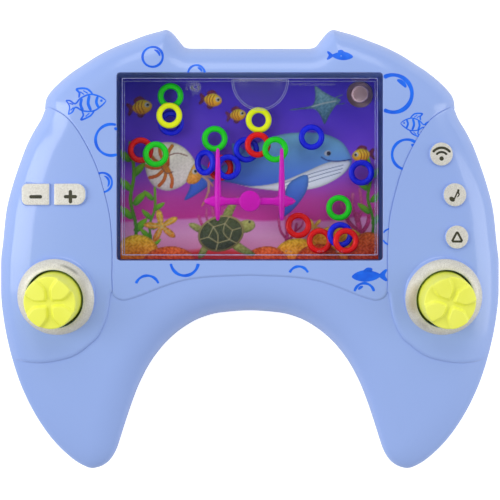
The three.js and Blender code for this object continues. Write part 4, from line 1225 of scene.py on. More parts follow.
def buildPrint(spec):
    # Lines and patches laid on the plate: part circles for bubbles, curves for fish
    parts = []
    thick = spec["thick"]
    for x, y, radius, width, start, end, shine in spec["bubbles"]:
        width = width * spec["wider"]
        wobble = 1 + 0.12 * np.sin(np.linspace(0, 17, 90) + x)
        widths = wobble * (width if end - start >= 360 else bluntWidths(90, width, 0.02))
        parts.append(ribbon(arcPath(x, y, radius, start, end, 90), widths, plateHeight, thick))
        if shine:
            widths = bluntWidths(40, width * 1.1, 0.5)
            parts.append(ribbon(arcPath(x, y, *shine), widths, plateHeight, thick))
    for place in spec["silhouettes"]:
        for patch in spec["silhouette"]:
            parts.append(slab(printedAt(smoothLoop(patch), *place), plateHeight, thick))
    for place in spec["drawings"]:
        for width, points in spec["strokes"]:
            path = throughPoints(printedAt(points, *place), 8)
            parts.append(ribbon(path, bluntWidths(len(path), width * place[2], 0.2), plateHeight, thick))
        eyeX, eyeY, radius = spec["eye"]
        parts.append(slab(printedAt(circleLoop(radius, 24) + (eyeX, eyeY), *place), plateHeight, thick))
    piece("face_print", together(parts), printMaterial, stands=["centre_bezel"], sharp=60)


buildPrint(facePrint)
print("print done")

# Water tank

tankPlastic = {
    "rough": 0.04, "tint": (0.985, 0.988, 1.0), "blend": 0.09, "hazeAndGlint": 0.002, "hazeAndGlintColour": (200, 205, 235),
}
tankMaterial = clearPlastic("clear_plastic", tankPlastic)
wetMaterial = clearPlastic("wet_plastic", {**tankPlastic, "blend": 0.02})


def buildTank():
    # The box and the plate are rings of a growth and a height, and the neck and boss are turned profiles
    t = tank
    r, front, back, wall, flange = t["edgeRound"], t["front"], t["back"], t["wall"], t["flange"]
    flangeTop, foot = back + t["flangeThickness"], back + 0.02
    outside = [
        (-r, front), (-r * 0.62, front - 0.03), (-r * 0.29, front - r * 0.29), (-0.03, front - r * 0.62),
        (0, front - r), (0, flangeTop), (flange, flangeTop), (flange, foot),
    ]
    inside = [(-wall, foot), (-wall, front - wall - 0.2), (-wall - 0.2, front - wall)]
    rings = [atHeight(tankLoop(growth), height) for growth, height in outside + inside]
    letLightThrough(piece(
        "tank_clear", loops(rings), tankMaterial, stands=["tank_front"], sharp=30,
    ))
    low = back - t["plate"]
    plate = loops([
        atHeight(tankLoop(growth), height)
        for growth, height in ((flange - 0.15, low), (flange, low + 0.15), (flange, back))
    ])
    (bore, outer), end, top = t["neckRadii"], t["neckEnd"], back + 0.5
    neck = turned(rounded([(bore, end), (outer, end), (outer, top), (bore, top), (bore, end)], 0.2), 64)
    (wide, step), (pin, tip) = t["boss"], t["bossPin"]
    boss = turned(rounded([(0, low), (wide, low), (wide, step), (pin, step), (pin, tip), (0, tip)], 0.2), 64)
    letLightThrough(piece("tank_back_plate", together([
        plate, moved(neck, (*t["filler"], 0)), moved(boss, (0, t["bossY"], 0)),
    ]), wetMaterial, stands=["tank_back"], sharp=30))


buildTank()

# Picture card: an undersea scene painted on a fine grid

card = {
    "cell": 0.28, "halfWidth": 43.1, "low": -3.4, "high": 57.2, "hole": 4.4, "border": 0.24,
    "water": [  # height and colour, from the bottom up
        (-3.4, (176, 24, 34)), (-1.6, (196, 34, 44)), (0.0, (204, 120, 160)), (5, (210, 142, 184)),
        (9.5, (204, 128, 184)), (10.4, (190, 44, 140)), (17, (178, 52, 152)), (24, (132, 60, 182)),
        (34, (98, 52, 198)), (46, (74, 42, 190)), (57.2, (54, 38, 176)),
    ],
    "rays": 9.0, "clouds": 7, "back": (226, 224, 218),
}

starTurn = np.radians(np.arange(0, 360, 12))
starReach = 0.62 + 0.38 * np.cos(5 * starTurn)
starAngle = starTurn + math.radians(18)
starLoop = np.stack([starReach * np.cos(starAngle), starReach * np.sin(starAngle)], -1)


def ovalLoop(width, height, count=22):
    angle = fullTurn(count)
    return np.stack([width * np.cos(angle), height * np.sin(angle)], -1)


def mirrored(points):
    return [(x, -y) for x, y in points][::-1]


frontFlipper = [(4.2, 4.2), (6.6, 7.0), (9.2, 10.6), (8.0, 11.2), (5.4, 9.6), (3.0, 7.4), (2.0, 5.2)]
backFlipper = [(-5.2, 3.4), (-7.4, 6.2), (-9.6, 6.8), (-9.4, 5.2), (-7.2, 2.6)]
scutes = [(4.0, 0), (2.2, 3.1), (-1.9, 3.1), (-4.4, 0), (-1.9, -3.1), (2.2, -3.1)]
scuteEnds = [(7.0, 0), (4.2, 5.0), (-3.2, 5.4), (-7.2, 0), (-3.2, -5.4), (4.2, -5.0)]

# Each motif faces right and is drawn about its middle. A patch is filled inside its points with a top
# and a bottom colour, a stroke is a line with a width, and both may be mottled.
motifs = {
    "whale": [
        ("patch", [(-20.5, 1.8), (-24.5, 5.6), (-29.5, 8.6), (-28.6, 3.6), (-29.6, -1.4), (-32.0, -5.4),
                   (-26.6, -3.6), (-21.6, -0.6)], (74, 128, 214), (46, 84, 196)),
        ("patch", [(25.0, 0.8), (22.4, 6.0), (15.4, 9.8), (3.0, 11.2), (-9.0, 8.2), (-17.0, 4.2),
                   (-22.4, 2.4), (-22.4, 0.2), (-16.6, -1.8), (-7.6, -5.0), (3.0, -7.8), (13.0, -8.0),
                   (21.4, -5.2), (24.8, -2.0)], (122, 186, 208), (58, 98, 214)),
        ("patch", [(24.4, -1.2), (17.4, -0.4), (9.0, -2.4), (0.0, -4.4), (-9.0, -4.3), (-14.0, -2.8),
                   (-7.6, -5.3), (3.0, -7.9), (13.0, -8.1), (21.2, -5.3)], (214, 222, 236), (236, 240, 246)),
        ("stroke", 0.22, [(21.6, -3.2), (12.0, -4.3), (2.0, -6.0)], (120, 146, 200), (120, 146, 200)),
        ("stroke", 0.22, [(20.8, -4.4), (12.0, -5.6), (3.0, -7.0)], (120, 146, 200), (120, 146, 200)),
        ("stroke", 0.22, [(22.0, -2.1), (12.4, -3.1), (1.0, -5.1)], (120, 146, 200), (120, 146, 200)),
        ("stroke", 0.42, [(25.0, -0.6), (21.2, -0.6), (17.4, 0.2), (15.4, 1.6)],
         (34, 58, 150), (34, 58, 150)),
        ("patch", [(9.6, -3.4), (8.6, -8.8), (3.0, -14.4), (-1.6, -16.0), (0.4, -10.6), (3.4, -5.2)],
         (78, 136, 214), (52, 74, 190)),
        ("patch", [(-9.8, 7.6), (-12.6, 10.6), (-13.6, 10.2), (-13.2, 6.2)], (92, 150, 206), (70, 118, 204)),
        ("patch", ovalLoop(1.15, 0.95) + (17.6, 2.6), (236, 240, 244), (210, 222, 236)),
        ("patch", ovalLoop(0.72, 0.72) + (17.9, 2.5), (22, 26, 60), (22, 26, 60)),
    ],
    "turtle": [
        ("patch", frontFlipper, (208, 206, 118), (120, 132, 58), 1.0),
        ("patch", mirrored(frontFlipper), (190, 186, 98), (96, 108, 46), 1.0),
        ("patch", backFlipper, (190, 190, 104), (116, 124, 56), 1.0),
        ("patch", mirrored(backFlipper), (170, 168, 88), (96, 104, 46), 1.0),
        ("patch", [(6.6, 1.7), (9.4, 2.3), (11.6, 1.3), (12.0, 0), (11.6, -1.3), (9.4, -2.3), (6.6, -1.7)],
         (206, 202, 112), (128, 134, 62), 0.8),
        ("patch", ovalLoop(8.0, 6.6), (196, 178, 108), (110, 96, 48)),
        ("patch", ovalLoop(7.3, 5.9), (74, 84, 44), (34, 44, 26), 0.6),
        *[("stroke", 0.34, [a, b], (232, 222, 160), (214, 198, 128)) for a, b in zip(scutes, scuteEnds)],
        *[("stroke", 0.34, [a, b], (232, 222, 160), (214, 198, 128))
          for a, b in zip(scutes, scutes[1:] + scutes[:1])],
        ("stroke", 0.34, [(2.2, 3.1), (0.9, 0), (2.2, -3.1)], (232, 222, 160), (214, 198, 128)),
        ("stroke", 0.34, [(-1.9, 3.1), (-1.2, 0), (-1.9, -3.1)], (232, 222, 160), (214, 198, 128)),
        ("patch", ovalLoop(0.42, 0.42) + (10.4, 1.2), (20, 20, 20), (20, 20, 20)),
    ],
    "nautilus": [
        *[("stroke", 0.6, [(7.2, -3.4), (10.0 + k * 0.3, -4.6 - k * 0.8), (12.2 - k * 0.5, -6.6 - k * 1.3),
                           (14.0 - k * 1.6, -7.6 - k * 1.9)], (250, 214, 200), (240, 150, 130))
          for k in range(5)],
        ("patch", [(8.4, -1.4), (6.4, 4.0), (2.4, 7.4), (-2.6, 8.0), (-6.8, 5.2), (-8.4, 0.2), (-7.0, -5.2),
                   (-2.6, -8.0), (2.4, -7.4), (5.8, -5.0)], (252, 246, 222), (214, 200, 196), 0.5),
        *[("stroke", 1.15, [(-1.0 + 0.5 * math.cos(a), 0.5 * math.sin(a)),
                            (-1.0 + 4.4 * math.cos(a + 0.22), 4.4 * math.sin(a + 0.22)),
                            (-1.0 + 7.0 * math.cos(a + 0.05), 7.0 * math.sin(a + 0.05))],
           (246, 150, 40), (226, 96, 24)) for a in np.radians([62, 96, 130, 164, 198, 232, 266])],
        ("stroke", 0.34, [(6.2, 2.0), (3.0, 3.6), (-0.8, 3.0), (-2.8, 0.4), (-1.8, -2.2), (0.4, -2.2)],
         (170, 110, 90), (150, 90, 80)),
        ("patch", [(4.2, -6.4), (6.6, -2.4), (8.8, -0.8), (10.2, -3.4), (9.0, -6.4), (6.6, -7.6)],
         (255, 206, 96), (238, 146, 50), 0.8),
        ("patch", ovalLoop(0.95, 0.95) + (7.6, -3.6), (255, 250, 240), (240, 230, 220)),
        ("patch", ovalLoop(0.5, 0.5) + (7.8, -3.6), (24, 22, 30), (24, 22, 30)),
    ],
    "ray": [
        ("patch", [(7.0, 0), (4.2, 2.0), (1.2, 4.8), (-1.4, 7.6), (-2.0, 4.6), (-3.2, 1.6), (-5.4, 0.5),
                   (-12.4, 1.1), (-12.4, 0.7), (-5.4, -0.5), (-3.2, -1.6), (-2.0, -4.6), (-1.4, -7.6),
                   (1.2, -4.8), (4.2, -2.0)], (126, 176, 182), (52, 96, 124), 0.8),
        ("stroke", 0.4, [(5.6, 1.4), (8.0, 1.7)], (110, 160, 170), (110, 160, 170)),
        ("stroke", 0.4, [(5.6, -1.4), (8.0, -1.7)], (70, 116, 140), (70, 116, 140)),
        ("stroke", 0.5, [(5.0, 0), (0.0, 0.3), (-4.4, 0.1)], (206, 226, 226), (206, 226, 226)),
    ],
    "fish": [
        ("patch", [(-2.4, 0.4), (-4.2, 2.2), (-4.8, 1.6), (-4.2, 0.0), (-4.8, -1.5), (-4.1, -2.0)],
         (120, 36, 84), (96, 22, 70)),
        ("patch", [(1.8, 2.0), (0.2, 3.8), (-2.0, 3.0), (-1.6, 1.6)], (128, 38, 84), (104, 26, 74)),
        ("patch", [(1.0, -1.9), (-0.4, -3.4), (-1.8, -2.6), (-1.2, -1.6)], (112, 30, 76), (92, 20, 66)),
        ("patch", [(3.7, 0.0), (2.8, 1.6), (0.6, 2.5), (-1.7, 1.9), (-3.0, 0.3), (-1.9, -1.6), (0.4, -2.3),
                   (2.6, -1.6)], (252, 226, 60), (238, 152, 20)),
        *[("stroke", 0.3, [(x, 1.9), (x - 0.6, 0.2), (x, -1.7)], (206, 104, 20), (190, 84, 16))
          for x in (0.7, -0.4, -1.4)],
        ("patch", ovalLoop(0.85, 0.85) + (2.1, 0.55), (250, 250, 246), (226, 230, 226)),
        ("patch", ovalLoop(0.48, 0.48) + (2.3, 0.5), (18, 26, 22), (18, 26, 22)),
    ],
    "starfish": [
        ("patch", starLoop * 6.6, (252, 208, 66), (230, 128, 34), 1.2),
        *[("stroke", 0.36, [(0, 0), (4.6 * math.cos(a), 4.6 * math.sin(a))], (255, 238, 150), (255, 226, 120))
          for a in np.radians(np.arange(5) * 72 + 18)],
    ],
    "kelp": [
        *[("patch", [(0, h), (1.6 * d, h + 2.2), (4.6 * d, h + 3.4), (3.6 * d, h + 1.0), (1.2 * d, h - 0.8)],
           (150, 216, 30), (60, 146, 18))
          for h, d in ((3, 1), (7, -1), (11, 1), (15.4, -1), (19.6, 1), (24, -1))],
        ("stroke", 1.1, [(0, -4), (0.8, 4), (-0.7, 12), (0.8, 20), (-0.2, 29)],
         (126, 196, 24), (48, 126, 18)),
    ],
    "branches": [
        ("stroke", 1.7, [(0, -4), (0.3, 2), (-0.4, 7)], (222, 66, 146), (176, 24, 96), 0.6),
        ("stroke", 1.2, [(0.2, 1), (3.0, 4.4), (3.6, 9.6)], (230, 86, 160), (184, 30, 104), 0.6),
        ("stroke", 1.2, [(0.0, 2), (-3.0, 5.4), (-4.6, 10.4)], (230, 86, 160), (184, 30, 104), 0.6),
        ("stroke", 0.9, [(-0.4, 6), (-1.4, 9.4), (-1.0, 13.0)], (238, 110, 176), (204, 46, 124), 0.6),
        ("stroke", 0.9, [(3.2, 6), (5.8, 8.8), (6.4, 12.0)], (238, 110, 176), (204, 46, 124), 0.6),
        ("stroke", 0.9, [(-0.2, 5), (1.4, 8.6), (1.2, 14.2)], (238, 110, 176), (204, 46, 124), 0.6),
    ],
    "dome": [
        ("patch", [(-1.0, -0.6), (-0.98, 0.1), (-0.72, 0.66), (-0.3, 0.95), (0.24, 0.97), (0.7, 0.7),
                   (0.98, 0.16), (1.0, -0.6)], (255, 208, 40), (226, 66, 20), 1.4),
    ],
    "redDome": [
        ("patch", [(-1.0, -0.6), (-0.96, 0.1), (-0.7, 0.62), (-0.26, 0.92), (0.26, 0.96), (0.72, 0.66),
                   (0.98, 0.14), (1.0, -0.6)], (246, 110, 30), (186, 24, 22), 1.4),
    ],
}
cardLayout = [  # motif, x, y, width share, height share, turn; a width under 0 faces left
    ("branches", 36.5, 3.5, 1.1, 1.15, 4), ("branches", 12.0, 2.0, 0.75, 0.7, -8),
    ("branches", -12.5, 3.0, 0.8, 0.8, 6), ("kelp", -38.6, 3.0, 1.0, 1.12, 2),
    ("kelp", -33.8, -1.0, 0.8, 0.74, -6), ("kelp", 40.6, 6.0, 0.9, 0.92, 3),
    ("ray", 24.5, 48.3, 0.86, 0.86, 14), ("whale", 9.0, 26.6, 1.0, 1.0, 9),
    ("nautilus", -26.5, 27.8, 1.0, 1.0, 12), ("fish", -36.2, 47.2, 1.0, 1.0, 10),
    ("fish", -12.6, 49.6, 0.9, 0.9, -6), ("fish", -4.2, 44.6, 0.8, 0.8, 8),
    ("fish", 37.4, 31.2, -0.9, 0.9, 6), ("dome", 29.5, -1.6, 11.0, 9.4, -4),
    ("redDome", 39.5, -2.6, 7.0, 8.4, 8), ("dome", 16.0, -2.6, 8.4, 6.2, 3),
    ("redDome", 22.6, -3.4, 7.6, 5.2, 0), ("redDome", 5.4, -3.6, 7.4, 4.6, 0),
    ("dome", -37.6, -2.0, 7.6, 6.8, 3), ("redDome", -27.0, -3.4, 8.6, 4.4, 0),
    ("starfish", -29.4, 7.6, 0.92, 0.86, 12), ("turtle", -9.6, 5.2, 0.98, 0.9, 16),
    ("starfish", 21.4, 7.4, 0.5, 0.46, 30),
]


def depthInside(points, loop):
    # Distance to a closed loop, less than 0 outside. A point is inside where a line to its right
    # crosses the loop an odd number of times.
    x, y = points[:, :1], points[:, 1:]
    ax, ay = loop.T
    bx, by = np.roll(loop, -1, axis=0).T
    rise = np.where(by == ay, 1e-9, by - ay)
    crossed = ((ay > y) != (by > y)) & (x < ax + (bx - ax) * (y - ay) / rise)
    distance = nearestEdge(points, loop)[0]
    return np.where(crossed.sum(1) % 2 == 1, distance, -distance)


def mottle(points):
    # A worm-like pattern between -1 and 1: sines whose phases are shifted by other sines
    x, y = points.T
    return np.sin(2.9 * x + 1.6 * np.sin(2.3 * y + 0.7)) * np.sin(2.7 * y + 1.4 * np.sin(2.1 * x))


def paintShape(picture, places, path, width, spec, border):
    # colour = bottom (1 - h) + top h, h the height in the shape, darker near its edge and mottled.
    # The depth is measured into a patch, or into a stroke of this width along the path.
    top, bottom, mottled = spec
    low, high = path.min(0), path.max(0)
    near = ((places > low - 2) & (places < high + 2)).all(-1)
    points = places[near]
    if width:
        depth = width / 2 - nearestEdge(points, path, closed=False)[0]
    else:
        depth = depthInside(points, path)
    h = np.clip((points[:, 1:] - low[1]) / max(high[1] - low[1], 0.5), 0, 1)
    colour = np.asarray(bottom) * (1 - h) + np.asarray(top) * h
    colour = colour * (1 - 0.3 * np.exp(-np.maximum(depth, 0) / 0.55))[:, None]
    colour = colour + (mottled * 22 * mottle(points))[:, None]
    cover = ramp(0.5 + depth / border)[:, None]
    picture[near] += (colour - picture[near]) * cover


def paintMotif(picture, places, name, x, y, across, up, turn, border):
    # The points of each shape are stretched, turned and moved, and a stroke's width grows with them
    size = math.sqrt(abs(across * up))
    for kind, *shape in motifs[name]:
        width = shape.pop(0) * size if kind == "stroke" else 0
        points, top, bottom, *mottled = shape
        spots = (np.asarray(points, float) * (across, up)) @ turnedBy(turn) + (x, y)
        path = throughPoints(spots, 8) if width else smoothLoop(spots)
        spec = (top, bottom, mottled[0] if mottled else 0)
        paintShape(picture, places, path, width, spec, border)


def paintCard(places, spec):
    # The water's colour by height, with slanting light and slow clouds, then the motifs in turn
    x, y = places.T
    heights = [h for h, _ in spec["water"]]
    colours = np.array([c for _, c in spec["water"]], float)
    level = y + 0.6 * np.sin(x / 9.0) + 0.35 * np.sin(x / 3.7 + 1)
    picture = np.stack([np.interp(level, heights, colours[:, k]) for k in range(3)], -1)
    cloud = np.sin(x / 6.1 + 1.7 * np.sin(y / 7.7)) * np.sin(y / 5.3 + 1.3 * np.sin(x / 8.9))
    beam = ramp(np.sin((x + 0.55 * y) / 4.6) * 0.5 + 0.2 * np.sin((x + 0.5 * y) / 1.9)) * ramp((y - 14) / 30)
    picture += (spec["rays"] * beam + spec["clouds"] * cloud)[:, None]
    for name, *place in cardLayout:
        paintMotif(picture, places, name, *place, spec["border"])
    return linear(np.clip(picture, 0, 255))


def buildCard(spec):
    # Two sheets with a colour at each point. Points near the hole are drawn onto its circle.
    x = np.arange(-spec["halfWidth"], spec["halfWidth"] + 0.01, spec["cell"])
    y = np.arange(spec["low"], spec["high"] + 0.01, spec["cell"])
    places = np.stack(np.meshgrid(x, y, indexing="ij"), -1)
    hole = np.asarray(tank["filler"])
    away = places - hole
    radius = np.hypot(away[..., 0], away[..., 1])
    snap = np.abs(radius - spec["hole"]) < spec["cell"] * 0.6
    places = np.where(snap[..., None], hole + away * (spec["hole"] / radius)[..., None], places)
    middle = (places[1:, 1:] + places[:-1, :-1]) / 2 - hole
    keep = np.hypot(middle[..., 0], middle[..., 1]) > spec["hole"]
    low, high = tank["card"]
    colours = paintCard(places.reshape(-1, 2), spec)
    back = np.broadcast_to(linear(spec["back"]), colours.shape)
    paint = np.concatenate([np.concatenate([colours, back]), np.ones((len(colours) * 2, 1))], 1)
    outer, inner = atHeight(places, high), atHeight(places, low)
    material, tree, output = newMaterial("picture_print")
    grain = noise(tree, 2600, 2, 0.6)
    shade = steps(tree, grain, [(0.35, grey(0.93)), (0.65, grey(1.0))])
    painted = add(tree, "ShaderNodeAttribute", attribute_name="paint").outputs["Color"]
    tone = add(tree, "ShaderNodeMix", data_type="RGBA", blend_type="MULTIPLY")
    tone.inputs[0].default_value = 1.0
    tree.links.new(painted, tone.inputs[6])
    tree.links.new(shade, tone.inputs[7])
    shader = add(tree, "ShaderNodeBsdfPrincipled", {"Specular IOR Level": 0.3}, {
        "Base Color": tone.outputs[2],
        "Roughness": steps(tree, grain, [(0, grey(0.5)), (1, grey(0.62))]),
    })
    tree.links.new(shader.outputs["BSDF"], output.inputs["Surface"])
    piece("undersea_print", shell(outer, inner, keep=keep), material,
          stands=["picture_card"], colours=paint)


buildCard(card)
print("picture card done")

# Water and the air in it

water = {
    "inset": 1.55, "low": 9.04, "high": 21.26, "tint": (0.965, 0.973, 1.0), "paleTint": (0.98, 0.984, 1.0),
    "cornerGlints": [(-1.5, 21.3, 0.12), (-1.5, 9.2, 0.14)],  # growth, height, radius of each bar that paints the highlight on an inner corner
    "bigBubble": {"middle": (3.4, 55.6, 15.6), "radii": (9.4, 10.0, 5.4), "wall": 55.7},
    "cluster": (-18.2, 52.9, 20.3), "clusterRadius": 2.3, "clusterCount": 19,
    "rowStart": (12.8, 53.9, 20.5), "rowEnd": (27.6, 53.8, 20.5), "rowCount": 17, "lowRowHeight": 20.4,
    "lowRow": [  # x, y, radius
        (12.0, -0.75, 0.42), (13.4, -0.8, 0.3), (22.6, -0.8, 0.45), (23.9, -0.75, 0.36), (28.6, -0.75, 0.5),
        (30.2, -0.8, 0.4),
    ],
}


def airMaterial(name, spec):
    # Clear where it is seen square on, with a painted glint inside its rim: a pale diffuse colour mixed with
    # gloss stands in for the light the rim mirrors
    material, tree, output = newMaterial(name)
    place = objectPlace(tree)
    facing = add(tree, "ShaderNodeLayerWeight", {"Blend": spec["blend"]}).outputs["Facing"]
    rim = steps(tree, facing, [(at, grey(share)) for at, share in spec["rim"]])
    gloss = add(tree, "ShaderNodeBsdfGlossy", {"Color": (1, 1, 1, 1)}, {
        "Roughness": steps(tree, noise(tree, 300, 3, 0.6, place), [(0.3, grey(0.04)), (0.7, grey(0.12))]),
    })
    clear = add(tree, "ShaderNodeBsdfTransparent", {"Color": (*spec["tint"], 1)})
    # The pale diffuse share is a painted highlight on the bubble's rim
    pale = add(tree, "ShaderNodeBsdfDiffuse", {"Color": rgba(spec["pale"])})
    glint = add(tree, "ShaderNodeMixShader", {0: 0.7}, {1: gloss.outputs[0], 2: pale.outputs[0]})
    mix = add(tree, "ShaderNodeMixShader", links={0: rim, 1: clear.outputs[0], 2: glint.outputs[0]})
    tree.links.new(mix.outputs[0], output.inputs["Surface"])
    return material


def bubble(middle, radii, sides=28, rings=15):
    # An ellipsoid: x = a cos u sin v, y = b sin u sin v, z = c cos v
    u = fullTurn(sides)[:, None]
    v = np.linspace(0, np.pi, rings)[None]
    height = np.broadcast_to(np.cos(v), (sides, rings))
    ball = np.stack([np.cos(u) * np.sin(v), np.sin(u) * np.sin(v), height], -1)
    return grid(ball * np.asarray(radii) + np.asarray(middle), closed=True)


def cornerGlint(growth, height, radius):
    # A thin closed bar round the tank, a painted highlight along its inner corner: its section is a circle
    # about a growth of the outline and a height
    around = np.linspace(0, 2 * np.pi, 9)
    rings = [atHeight(tankLoop(growth + radius * math.cos(a)), height + radius * math.sin(a)) for a in around]
    return loops(rings, capped=False)


def buildWater(spec):
    # Small bubbles lie on a ring, in steps of 2.4 radians, and along two rows, with sines for their spread
    waterMaterial, tree, output = newMaterial("water")
    tint = steps(tree, noise(tree, 60, 2, 0.5), [(0.3, (*spec["tint"], 1)), (0.7, (*spec["paleTint"], 1))])
    shader = add(tree, "ShaderNodeBsdfPrincipled", {"Transmission Weight": 1.0, "IOR": 1.0, "Roughness": 0.0},
                 {"Base Color": tint})
    tree.links.new(shader.outputs["BSDF"], output.inputs["Surface"])
    rings = [
        atHeight(tankLoop(-spec["inset"] + grown), height) for grown, height in (
            (-0.25, spec["low"]), (0, spec["low"] + 0.25), (0, spec["high"] - 0.25), (-0.25, spec["high"]),
        )
    ]
    letLightThrough(piece("water", loops(rings), waterMaterial))
    # The corner bars are a painted highlight: a pale diffuse share shows the light caught by the tank's inner
    # corners
    cornerGlintPlastic = clearPlastic("corner_glint_plastic", {
        "rough": 0.1, "tint": (0.96, 0.965, 1.0), "blend": 0.2, "hazeAndGlint": 0.3, "hazeAndGlintColour": (196, 204, 246),
    })
    lines = [cornerGlint(*line) for line in spec["cornerGlints"]]
    letLightThrough(piece("tank_corner_glints", together(lines), cornerGlintPlastic))
    bubbleMaterial = airMaterial("air_bubble", {
        "blend": 0.5, "rim": [
            (0.36, 0.02), (0.44, 0.3), (0.5, 0.03), (0.7, 0.05), (0.8, 0.95), (0.9, 0.85), (0.97, 0.1),
        ], "pale": (232, 236, 252),
        "tint": (0.97, 0.97, 0.985),
    })
    big = spec["bigBubble"]
    points, faces = bubble(big["middle"], big["radii"], 120, 61)
    points[:, 1] = np.minimum(points[:, 1], big["wall"])
    letLightThrough(piece("big_bubble", (points, faces), bubbleMaterial))
    small = []
    cx, cy, cz = spec["cluster"]
    for k in range(spec["clusterCount"]):
        angle, reach = k * 2.4, spec["clusterRadius"] * (0.72 + 0.36 * math.sin(k * 5.1))
        radius = 0.45 + 0.3 * math.sin(k * 3.7 + 1) ** 2
        small.append(bubble((cx + reach * math.cos(angle), cy + 0.9 * reach * math.sin(angle), cz),
                            (radius, radius, radius * 0.8)))
    start, end = np.asarray(spec["rowStart"]), np.asarray(spec["rowEnd"])
    for k in range(spec["rowCount"]):
        x, y, z = start + (end - start) * k / (spec["rowCount"] - 1)
        radius = 0.32 + 0.12 * math.sin(k * 4.3) ** 2
        small.append(bubble((x + 0.1 * math.sin(k * 7.1), y + 0.16 * math.sin(k * 2.9), z),
                            (radius, radius, radius * 0.9)))
    for x, y, radius in spec["lowRow"]:
        small.append(bubble((x, y, spec["lowRowHeight"]), (radius, radius * 0.9, radius * 0.8)))
    letLightThrough(piece("small_bubbles", together(small), bubbleMaterial))


buildWater(water)
print("water done")

# Peg frame

pegs = {
    "y": tank["bossY"], "height": 16.5, "thickness": 2.0, "hub": 3.5, "hubThickness": 2.8, "spacing": 21.0,
    "widths": [  # of half the bar: distance from its middle, half width
        (0, 1.3), (4, 1.25), (7.5, 1.2), (9.3, 1.7), (10.5, 2.0), (11.8, 1.9), (13.2, 1.3), (14.2, 0.95),
        (15.1, 0.12),
    ],
    "thinning": [(0, 1), (9, 1), (11, 1), (14, 0.75), (15.1, 0.15)],  # the same with shares of the thickness
    "squareness": 0.7, "rise": 17.5, "drop": 6.4, "radius": 1.25, "tip": 0.5, "upright": 0.92,
}
pegPlastic = mouldedPlastic("peg_plastic", {
    "dark": (186, 0, 160), "light": (202, 0, 180), "rough": 0.38, "specular": 0.22, "bump": 0.05,
    "drift": 120,
})


def buildPegs(spec):
    # The bar's section is squarish: x is its length, y = w cos^p a and z = t sin^p a with the signs kept
    widths, thinning = np.array(spec["widths"]), np.array(spec["thinning"])
    half, mid = widths[-1, 0], spec["thickness"] / 2
    x = np.linspace(-half, half, 160)
    reach = np.abs(x)
    width = smoothValues(widths[:, 0], widths[:, 1], reach)
    thick = mid * smoothValues(thinning[:, 0], thinning[:, 1], reach)
    angle = fullTurn(32)[:, None]
    power = spec["squareness"]
    bar = np.stack([
        np.broadcast_to(x, (32, 160)), width * signedPower(np.cos(angle), power),
        mid + thick * signedPower(np.sin(angle), power),
    ], -1)
    ends = [np.broadcast_to([[s * half, 0, mid]], (32, 1, 3)) for s in (-1, 1)]
    barPart = grid(np.concatenate([ends[0], bar, ends[1]], 1), closed=True)
    hub = turned(rounded([
        (0, 0), (spec["hub"], 0), (spec["hub"], spec["hubThickness"]), (0, spec["hubThickness"]),
    ], 0.5), 72)
    low, high = -spec["drop"], spec["rise"]
    towardsMiddle = np.linspace(0, 1, 12) ** 2
    towardsTip = (1 - np.linspace(0, 1, 12)[1:]) ** 2
    along = np.concatenate([
        low + towardsMiddle * 0.8, np.linspace(low + 0.8, high - 1.2, 40)[1:], high - 1.2 * towardsTip,
    ])
    r, tip = spec["radius"], spec["tip"]
    taper = np.interp(along, [low, 0, high], [tip * 1.2, r, tip * 1.15])
    radius = taper * quarterRound(np.minimum(along - low, high - along))
    points, faces = turned(np.stack([radius, along], -1), 36)
    upright = points[:, [0, 2, 1]] * (1, 1, spec["upright"])
    needles = [(upright + (side * spec["spacing"] / 2, 0, mid + 0.1), faces) for side in (-1, 1)]
    part = moved(together([barPart, hub, *needles]), (0, spec["y"], spec["height"]))
    piece("peg_bar", part, pegPlastic, stands=["peg_frame"], sharp=50)


buildPegs(pegs)

# Rings

rings = {
    "radius": 3.32, "tube": 0.98, "squareness": 0.82, "gap": 0.3,
    "heaps": [  # a place in the tank as shares, and of each ring its colour, offset, level and tilt
        ((-0.709, 0.992), [
            ("green", 0, 0, 0, 0), ("yellow", -0.08, -1.54, 1, 0), ("blue", 0.03, -2.1, 0, 0),
        ]),
        ((-0.977, 0.621), [("red", 0, 0, 0, 0), ("green", 1.19, -0.34, 1, 0)]),
        ((-0.031, 0.624), [
            ("blue", 0, 0, 0, 0), ("red", 0.88, 0.36, 1, 0), ("green", 2.22, -0.03, 2, 0),
            ("yellow", 0.95, 2.29, 0, 0), ("green", -2.44, 0.85, 0, 0), ("red", -1.98, -1.39, 0, 0),
            ("blue", -1.39, -1.36, 1, 0), ("blue", -3.15, -1.02, 1.1, -40),
        ]),
        ((0.553, 0.71), [("blue", 0, 0, 0, 0)]),
        ((1, 0.467), [("blue", 0, 0, 0, 0)]),
        ((0.625, 0), [
            ("red", 0, 0, 0, 0), ("red", -1.63, 1.2, 0, 0), ("green", 1.5, 2.56, 0, 0),
            ("blue", 1.57, 0.47, 1, 0), ("red", 1.99, 0, 2, 0),
        ]),
    ],
    "colours": {
        "green": ((10, 190, 16), (22, 210, 26)), "yellow": ((226, 240, 6), (238, 248, 18)),
        "blue": ((0, 14, 200), (2, 26, 222)), "red": ((206, 0, 2), (226, 4, 6)),
    },
}
ringMaterials = {
    name: mouldedPlastic(f"ring_{name}", {
        "dark": dark, "light": light, "rough": 0.4, "specular": 0.22, "bump": 0.06, "drift": 160,
    })
    for name, (dark, light) in rings["colours"].items()
}


